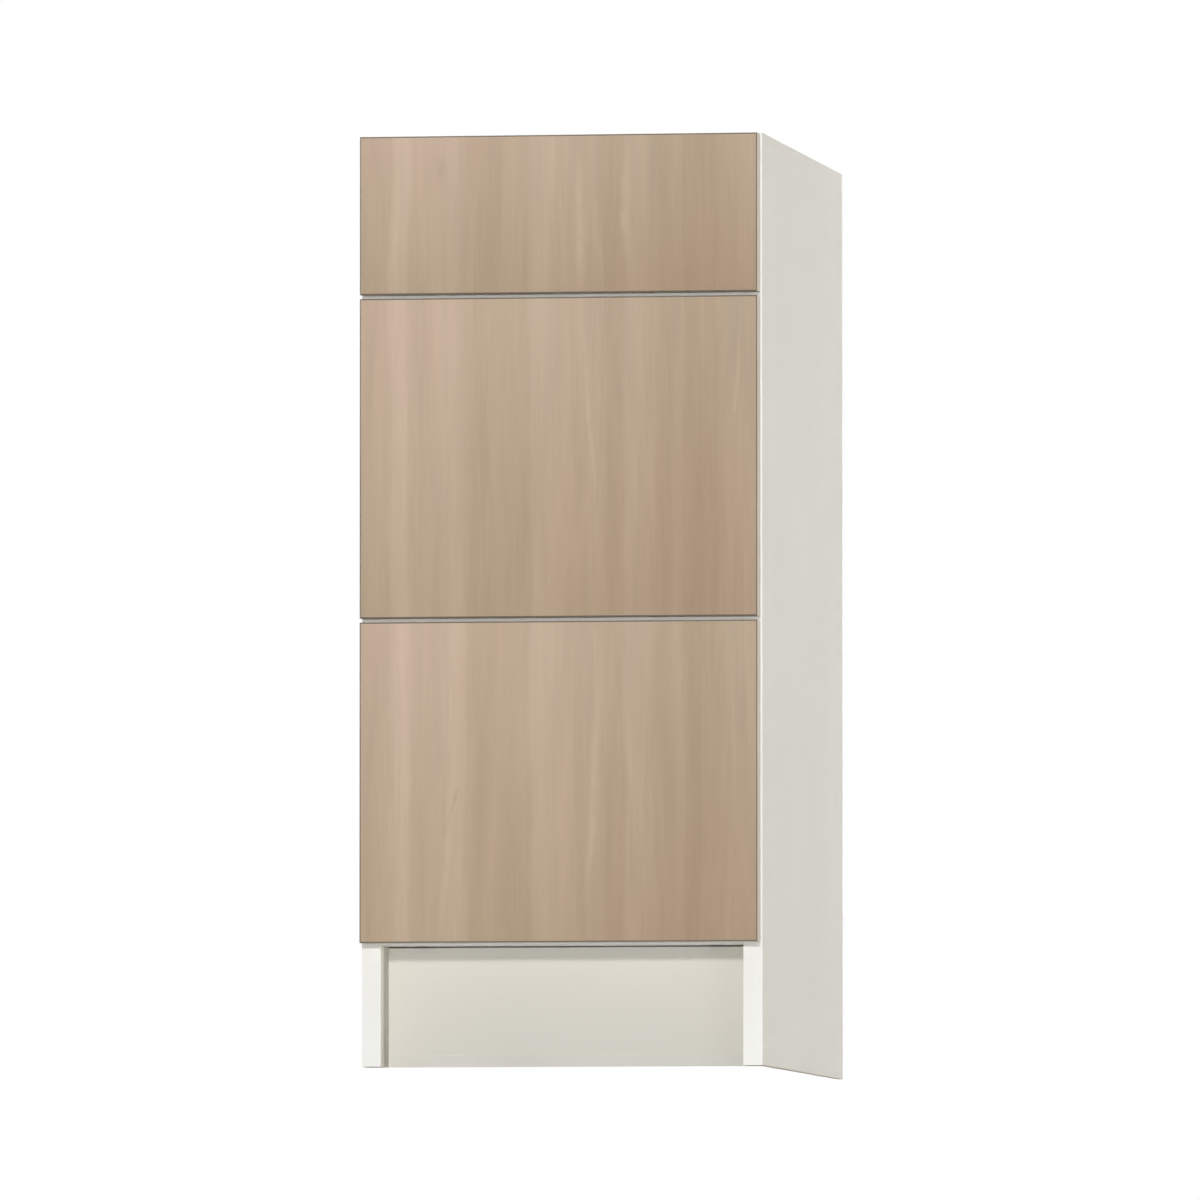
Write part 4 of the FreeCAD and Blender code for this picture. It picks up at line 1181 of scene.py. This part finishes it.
@dataclass
class Levellers:
    """Four feet and their brackets on the gables."""

    screw_head: Point = (4.0, 1.8)
    plate_thickness: float = 4.0
    screw_level: float = 69.0
    screw_spread: float = 15.0

    def build(self) -> None:
        """Dresses the brackets, screws them on and builds the feet."""
        dress_packed(Finishes.FOOT_BRACKET, 0.5, "leveller_brackets")
        work = Workpiece("leveller_screws", "carcass", "screw_zinc", (Finishes.SCREW,), 0.12)
        for foot in (Leveller(end, side) for end in ("front", "rear") for side in Side):
            foot.build()
            seat, out = foot.side.x(self.plate_thickness), -foot.side.value
            for step in (-self.screw_spread, self.screw_spread):
                spot = (foot.centre[1] + step, self.screw_level)
                work.screw(Axis.X, spot, seat, out, self.screw_head)
        work.finish()


@dataclass
class RunnerScrews:
    """Flat-headed screws that hold the cabinet rails."""

    head: Point = (4.0, 2.0)
    shank: float = 2.3
    taper: Point = (-11.9, -10.5)

    def build(self) -> None:
        """Two screws for each rail, with shanks into the gable."""
        finishes, replaced = (Finishes.SCREW,), ("runner_screws",)
        work = Workpiece("runner_screws_turned", "carcass", "screw_zinc", finishes, 0.12, replaced)
        for bay, side, y in ((bay, side, y) for bay in Bay for side in Side for y in RAIL_SCREWS):
            spot, seat = (y, bay.runner + RAIL_SCREW_LEVEL), side.x(RAIL_STEEL)
            work.screw(Axis.X, spot, seat, -side.value, self.head)
            tip, full = map(side.x, self.taper)
            shank = ((0.0, tip), (self.shank, full), (self.shank, seat), (0.0, seat))
            work.turn(Axis.X, spot, shank, 16)
        work.finish()


@dataclass
class CabinetRails:
    """The pair of rolled rails of one bay, punched, with the lug for the push latch."""

    bay: Bay
    flange_height: float = 46.0
    cut_corners: Point = (3.0, 12.0)
    channel: float = 23.0
    lip: float = 8.0
    lip_level: float = 3.6
    front: float = -267.0
    rear: float = 233.0
    screw_hole: float = 2.8
    slots: tuple[float, ...] = (-200.0, -136.0, -72.0, -8.0, 56.0, 120.0)
    slot_size: Point = (16.0, 6.0)
    rounds: tuple[float, ...] = (-168.0, -40.0, 88.0, 216.0)
    round_radius: float = 2.5
    low_rounds: tuple[float, ...] = (-104.0, 24.0, 152.0)
    low_round_radius: float = 3.2
    low_round_level: float = 20.0
    lug_front: float = 199.3
    lug_face: float = 221.3
    lug_outer: float = 44.0
    lug_inner: float = 24.5
    lug_height: float = 20.0
    lug_slot: Triple = (9.0, 7.0, 3.2)

    def build(self) -> None:
        """Flange with its punchings, channel with turned-in lips, and lug."""
        node = f"{self.bay.label}_cabinet_rails"
        work = Workpiece(node + "_rolled", "carcass", "runner_steel", (Finishes.RUNNER,), 0.25, (node,))
        for side in Side:
            work.extrude(Axis.X, self.flange(), *side.span(0.0, RAIL_STEEL), self.punchings())
            work.extrude(Axis.Y, self.section(side), self.front, self.rear)
            self.lug(work, side)
        work.finish()

    def flange(self) -> list[Point]:
        """Outline of the wall against the gable, with its upper corners cut off.

        Returns:
            Its corners.
        """
        front, rear, (small, large) = self.front, self.rear, self.cut_corners
        low, high = self.bay.runner + RAIL_STEEL, self.bay.runner + self.flange_height
        upper = [(rear, high - small), (rear - small, high), (front + large, high), (front, high - large)]
        return [(front, low), (rear, low), *upper]

    def punchings(self) -> list[Outline]:
        """Screw holes, slots and rounds of the flange.

        Returns:
            The outline of each.
        """
        row, low = self.bay.runner + RAIL_SCREW_LEVEL, self.bay.runner + self.low_round_level
        screws = [circle((y, row), self.screw_hole, 18) for y in RAIL_SCREWS]
        slots = [oblong((y, row), *self.slot_size) for y in self.slots]
        rounds = [circle((y, row), self.round_radius, 16) for y in self.rounds]
        rounds += [circle((y, low), self.low_round_radius, 16) for y in self.low_rounds]
        return screws + slots + rounds

    def section(self, side: Side) -> list[Point]:
        """Section of the channel: floor, outer wall and lip.

        Args:
            side: Side of the cabinet.

        Returns:
            Its corners.
        """
        far, steel, lip = self.channel, RAIL_STEEL, self.lip_level
        rows = (
            *((0.0, 0.0), (far, 0.0), (far, lip + steel), (far - self.lip, lip + steel)),
            *((far - self.lip, lip), (far - steel, lip), (far - steel, steel), (0.0, steel)),
        )
        return [(side.x(inward), self.bay.runner + level) for inward, level in rows]

    def lug(self, work: Workpiece, side: Side) -> None:
        """Foot and upright that the latch presses on.

        Args:
            work: The rails.
            side: Side of the cabinet.
        """
        z, rear = self.bay.runner, self.lug_face + RAIL_STEEL
        foot = plate(*side.span(self.channel - RAIL_STEEL, self.lug_outer), self.lug_front, rear)
        work.extrude(Axis.Z, foot, z, z + RAIL_STEEL)
        xs = side.span(self.lug_inner, self.lug_outer)
        level, *size = self.lug_slot
        slot = [(a, b) for b, a in oblong((z + level, sum(xs) / 2), *size)]
        work.extrude(Axis.Y, plate(*xs, z, z + self.lug_height, 2.0), self.lug_face, rear, (slot,))


@dataclass
class Carrier:
    """A middle rail with nylon rollers on both faces of its web."""

    bay: Bay
    side: Side
    web: float = 11.5
    half_web: float = 0.8
    level: float = 12.2
    tyre: float = 5.2
    tyre_round: float = 0.5
    dish: float = 2.6
    dish_depth: float = 0.6
    pin: tuple[Point, ...] = ((0.0, -0.7), (1.9, -0.7), (1.9, -0.1), (1.4, 0.2), (0.0, 0.2))
    roller_width: float = 5.0
    rollers: tuple[float, ...] = (-250.0, -150.0, -50.0, 50.0, 112.0)

    def build(self) -> None:
        """Dresses the rail and mounts its rollers."""
        node = f"{self.bay.label}_carrier_{self.side.label}"
        dress_packed(Finishes.RUNNER, 0.2, node)
        work = Workpiece(node + "_rollers", node, "foot_plastic", (Finishes.ROLLER, Finishes.SCREW), 0.25)
        near, far, tyre = self.half_web, self.half_web + self.roller_width, self.tyre
        bend, floor = self.tyre_round, far - self.dish_depth
        roller = (
            *((0.0, near), (tyre - bend, near), (tyre, near + bend), (tyre, far - bend)),
            *((tyre - bend, far), (self.dish, far), (self.dish, floor), (0.0, floor)),
        )
        pin = [(radius, far + step) for radius, step in self.pin]
        for y, sign in ((y, sign) for y in self.rollers for sign in (-1, 1)):
            for profile, steps, finish in ((roller, 28, 0), (pin, 16, 1)):
                rings = [(radius, self.side.x(self.web) + sign * out) for radius, out in profile]
                work.turn(Axis.X, (y, self.bay.runner + self.level), rings, steps, finish)
        work.finish()


@dataclass
class DrawerBox:
    """One drawer: front, steel sides, base, back, brackets, gallery rails and push latches."""

    bay: Bay
    front_back: float = -272.0
    side_rear: float = 218.0
    ledge: float = 25.8
    side_inner: float = 21.0
    cap_level: float = 78.0
    cap_setback: float = 34.0
    cap_half: Point = (26.0, 9.0)
    cap_thickness: float = 1.0
    adjusters: Point = (-14.0, 12.0)
    adjuster_head: Point = (3.2, 0.7)
    round_window: float = 4.2
    long_window: Point = (14.0, 8.0)
    gallery: float = 13.0
    collar_half: Point = (6.6, 11.6)
    collar_bore: Point = (5.15, 10.15)
    collar_length: float = 8.0
    collar_gap: float = 2.0
    latch_outer: float = 34.5
    latch_width: float = 20.0
    latch_length: float = 60.0
    latch_drop: float = 14.0
    latch_floor: float = 2.0
    latch_axis: float = 7.0
    latch_head: Point = (2.6, 1.2)
    latch_screw_inward: float = 38.1
    latch_screws: Point = (-46.0, -14.0)
    ribs: int = 7
    first_rib: float = -52.0
    rib_step: float = 7.0
    rib_width: float = 1.4
    rib_inset: float = 0.4
    rib_levels: Point = (0.6, 3.0)
    barrel: tuple[Point, ...] = (
        (0.0, -56.0),
        (4.6, -56.0),
        (5.4, -54.0),
        (5.4, -5.0),
        (4.8, -3.0),
        (0.0, -3.0),
    )
    nose: tuple[Point, ...] = ((0.0, -10.0), (3.2, -10.0), (3.2, 0.0), (2.6, 0.6), (0.0, 0.6))
    base_head: Point = (3.0, 1.1)
    base_screws: tuple[float, ...] = (-240.0, -140.0, -40.0, 60.0, 140.0)
    base_screw_inward: float = 27.5
    rear_head: Point = (3.4, 1.5)
    rear_screw_inward: float = 33.0
    deep_rear_screws: tuple[float, ...] = (60.0, 120.0, 176.0)
    low_rear_screws: tuple[float, ...] = (56.0, 88.0)

    def build(self) -> None:
        """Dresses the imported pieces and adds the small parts."""
        packed = [
            (Finishes.DECOR, 0.0, "front"),
            (Finishes.FRONT_BAND, 0.15, "front_edging"),
            (Finishes.BASE, 0.3, "base"),
            (Finishes.DRAWER_BACK, 0.5, "back"),
            (Finishes.RUNNER, 0.2, "slide_rails"),
            (Finishes.BRACKET, 0.2, "front_brackets", "rear_brackets"),
            (Finishes.DRAWER_SIDE, 0.3, "side_left", "side_right"),
        ]
        if self.bay.deep:
            packed.append((Finishes.GALLERY, 0.2, "gallery_rails"))
            self.build_gallery_ends()
        for finish, arris, *parts in packed:
            dress_packed(finish, arris, *(f"{self.bay.label}_{part}" for part in parts))
        self.build_caps()
        self.build_rear_screws()
        self.build_base_screws()
        self.build_latches()

    def part(self, name: str, slot: str, finishes: Sequence[Finish], bevel: float) -> Workpiece:
        """A small part of this drawer, under construction."""
        return Workpiece(f"{self.bay.label}_{name}", f"{self.bay.label}_drawer", slot, finishes, bevel)

    def build_caps(self) -> None:
        """Cover cap over the front fixing, with two adjuster windows, on each side's inner wall."""
        work = self.part("side_caps", "bracket_plastic", (Finishes.CAP, Finishes.SCREW), 0.2)
        y, z = self.front_back + self.cap_setback, self.bay.runner + self.cap_level
        spots = [(y + step, z) for step in self.adjusters]
        windows = (circle(spots[0], self.round_window, 20), oblong(spots[1], *self.long_window))
        for side in Side:
            xs = side.span(self.side_inner, self.side_inner + self.cap_thickness)
            work.extrude(Axis.X, pad((y, z), self.cap_half, 3.5), *xs, windows)
            for spot in spots:
                work.screw(Axis.X, spot, side.x(self.side_inner), -side.value, self.adjuster_head, 1)
        work.finish()

    def build_rear_screws(self) -> None:
        """Pan-headed screws through the rear brackets into the back board."""
        work = self.part("rear_screws", "screw_zinc", (Finishes.SCREW,), 0.1)
        levels = self.deep_rear_screws if self.bay.deep else self.low_rear_screws
        for side, level in ((side, level) for side in Side for level in levels):
            spot = (side.x(self.rear_screw_inward), self.bay.runner + level)
            work.screw(Axis.Y, spot, self.side_rear + RAIL_STEEL, 1, self.rear_head)
        work.finish()

    def build_base_screws(self) -> None:
        """Screws up through the ledges into the base."""
        work = self.part("base_screws", "screw_zinc", (Finishes.SCREW,), 0.1)
        seat = self.bay.runner + self.ledge - RAIL_STEEL
        for spot in ((side.x(self.base_screw_inward), y) for side in Side for y in self.base_screws):
            work.screw(Axis.Z, spot, seat, -1, self.base_head)
        work.finish()

    def build_gallery_ends(self) -> None:
        """Moulded collars where the gallery tube meets the front and the rear bracket."""
        work = self.part("gallery_collars", "bracket_plastic", (Finishes.CAP,), 0.25)
        low, high = node_span(f"{self.bay.label}_gallery_rails")
        z = (low.z + high.z) / 2
        for x in (side.x(self.gallery) for side in Side):
            rim, bore = pad((x, z), self.collar_half, 3.0), pad((x, z), self.collar_bore, 2.0)
            for start in (self.front_back + self.collar_gap, self.side_rear - self.collar_length):
                work.extrude(Axis.Y, rim, start, start + self.collar_length, (bore,))
        work.finish()

    def build_latches(self) -> None:
        """Push-latch modules: ribbed case, spring barrel and pressure nose."""
        finishes = (Finishes.LATCH, Finishes.LATCH_NOSE, Finishes.SCREW)
        work = self.part("push_latches_moulded", "latch_case", finishes, 0.35)
        work.replaced = (f"{self.bay.label}_push_latches",)
        low, rear = self.bay.runner + self.ledge - self.latch_drop, self.side_rear
        floor, (rib_low, rib_high) = low + self.latch_floor, self.rib_levels
        for side in Side:
            xs = side.span(self.latch_outer, self.latch_outer + self.latch_width)
            case = plate(*xs, rear - self.latch_length, rear, 3.0)
            work.extrude(Axis.Z, case, floor, low + self.latch_drop)
            centre = (side.x(self.latch_outer + self.latch_width / 2), low + self.latch_axis)
            for profile, steps, finish in ((self.barrel, 28, 0), (self.nose, 24, 1)):
                rings = [(radius, rear + along) for radius, along in profile]
                work.turn(Axis.Y, centre, rings, steps, finish)
            rib = plate(xs[0] + self.rib_inset, xs[1] - self.rib_inset, low + rib_low, low + rib_high, 1.0)
            for y in (rear + self.first_rib + step * self.rib_step for step in range(self.ribs)):
                work.extrude(Axis.Y, rib, y, y + self.rib_width)
            for y in (rear + step for step in self.latch_screws):
                work.screw(Axis.Z, (side.x(self.latch_screw_inward), y), floor, -1, self.latch_head, 2)
        work.finish()


# Studio


@dataclass(frozen=True)
class Lamp:
    """A distant lamp: the direction towards it, its share of plain level and its softness in degrees."""

    name: str
    towards: Triple
    level: float
    softness: float = 2.5

    def hang(self) -> None:
        """Hangs the lamp: a level of one lights a facing surface at its own colour."""
        light = bpy.data.lights.new(self.name, "SUN")
        preset(light, energy=self.level * math.pi, angle=math.radians(self.softness))
        aim = Vector(self.towards).normalized().to_track_quat("Z", "Y")
        placed(self.name, light).rotation_euler = aim.to_euler()


class Sheet(Wiring):
    """A flat stage sheet, in metres, and the wiring of its material."""

    def __init__(self, name: str, low: Point, high: Point, level: float) -> None:
        """Lays the sheet.

        Args:
            name: Its name.
            low: Lowest corner.
            high: Highest corner.
            level: Its height.
        """
        data = bpy.data.meshes.new(name)
        corners = plate(low[0], high[0], low[1], high[1])
        data.from_pydata([(*corner, level) for corner in corners], [], [(0, 1, 2, 3)])
        data.materials.append(bpy.data.materials.new(name))
        placed(name, data)
        super().__init__(emptied(data.materials[0]))
        self.ray = self.add("LightPath").outputs
        self.seen = self.ray["Is Camera Ray"]
        self.below = self.times(self.add("NewGeometry").outputs["Backfacing"], self.seen)
        self.white = self.add("Emission", {"Color": WHITE, "Strength": 1.0}).outputs[0]
        self.clear = self.add("BsdfTransparent").outputs[0]

    def show(self, share: Feed, under: Socket, over: Socket) -> None:
        """Shows a mix of two shaders."""
        self.add("OutputMaterial", {"Surface": self.mix(share, under, over)})


@dataclass
class Studio:
    """Camera, lamps, pale floor and white surroundings."""

    azimuth: float = 8.87
    elevation: float = -2.94
    distance: float = 17.89
    focal_length: float = 544.8
    aim: Triple = (0.0418, -0.291, 0.4584)
    ambient: float = 0.14
    floor_reach: float = 60.0
    floor_level: float = -0.0004
    footprint: tuple[Point, Point] = ((-0.2, -0.269), (0.2, 0.291))
    footprint_level: float = -0.0008
    lamps: tuple[Lamp, ...] = (
        Lamp("front_high", (0.08, -1.0, 0.22), 0.345, 4.0),
        Lamp("front_level", (0.08, -1.0, -0.03), 0.29),
        Lamp("front_right", (0.6, -0.8, 0.0), 0.11, 30.0),
        Lamp("right_side", (1.0, -0.05, 0.0), 0.40),
        Lamp("left_side", (-1.0, 0.0, 0.06), 0.56, 6.0),
        Lamp("rear", (0.0, 1.0, 0.06), 0.58, 6.0),
        Lamp("overhead", (0.12, -0.10, 1.0), 0.52, 24.0),
        Lamp("light_table", (0.0, -0.1, -1.0), 0.20, 30.0),
    )

    def build(self) -> None:
        """Sets the whole studio."""
        self.set_camera()
        for lamp in self.lamps:
            lamp.hang()
        self.surround()
        self.lay_floor()
        self.lay_footprint()
        bpy.context.scene.view_settings.view_transform = "Standard"
        log.info("studio ready")

    def set_camera(self) -> None:
        """Long lens at the photograph's angle."""
        azimuth, elevation = math.radians(self.azimuth), math.radians(self.elevation)
        level = math.cos(elevation)
        back = Vector((math.sin(azimuth) * level, -math.cos(azimuth) * level, math.sin(elevation)))
        lens = bpy.data.cameras.new("studio_camera")
        preset(lens, lens=self.focal_length, sensor_width=36.0, sensor_fit="HORIZONTAL")
        preset(lens, clip_start=0.5, clip_end=200.0)
        camera = placed("studio_camera", lens)
        camera.location = Vector(self.aim) + back * self.distance
        camera.rotation_euler = back.to_track_quat("Z", "Y").to_euler()
        bpy.context.scene.camera = camera

    def surround(self) -> None:
        """White for the eye and for reflections, a low even level for the rest."""
        world = bpy.data.worlds.new("white_surroundings")
        wires = Wiring(emptied(world))
        even = wires.add("Background", {"Color": WHITE, "Strength": self.ambient}).outputs[0]
        white = wires.add("Background", {"Color": WHITE, "Strength": 1.0}).outputs[0]
        ray = wires.add("LightPath").outputs
        mirrored = wires.math("MAXIMUM", ray["Is Glossy Ray"], ray["Is Transmission Ray"])
        seen = wires.math("MAXIMUM", ray["Is Camera Ray"], mirrored)
        wires.add("OutputWorld", {"Surface": wires.mix(seen, even, white)})
        bpy.context.scene.world = world

    def lay_floor(self) -> None:
        """Pale floor with the shadow, white far off, that lets the light table's lamp through."""
        reach = self.floor_reach
        floor = Sheet("studio_floor", (-reach, -reach), (reach, reach), self.floor_level)
        pale = floor.blend(floor.noise(3.0, 3.0), shade(246, 246, 246), shade(250, 250, 250))
        matt = floor.add("BsdfDiffuse", {"Color": floor.blend(floor.seen, shade(124, 124, 124), pale)})
        distance = floor.vector("LENGTH", floor.place())
        far = floor.times(floor.remap(distance, 0.7, 2.6, 0.3, 1.0), floor.seen)
        top = floor.mix(far, matt.outputs[0], floor.white)
        open_to = floor.math("MAXIMUM", floor.below, floor.ray["Is Shadow Ray"])
        floor.show(open_to, top, floor.clear)

    def lay_footprint(self) -> None:
        """White sheet under the cabinet, for a camera lower than the floor."""
        sheet = Sheet("floor_from_below", *self.footprint, self.footprint_level)
        sheet.show(sheet.below, sheet.clear, sheet.white)


def main() -> None:
    """Builds the studio and every sub-assembly."""
    logging.basicConfig(level=logging.INFO, format="%(name)s: %(message)s")
    for assembly in (Studio(), Carcass(), Plinth(), Levellers(), RunnerScrews()):
        assembly.build()
    for bay in Bay:
        CabinetRails(bay).build()
        for side in Side:
            Carrier(bay, side).build()
        DrawerBox(bay).build()


if __name__ == "__main__":
    main()
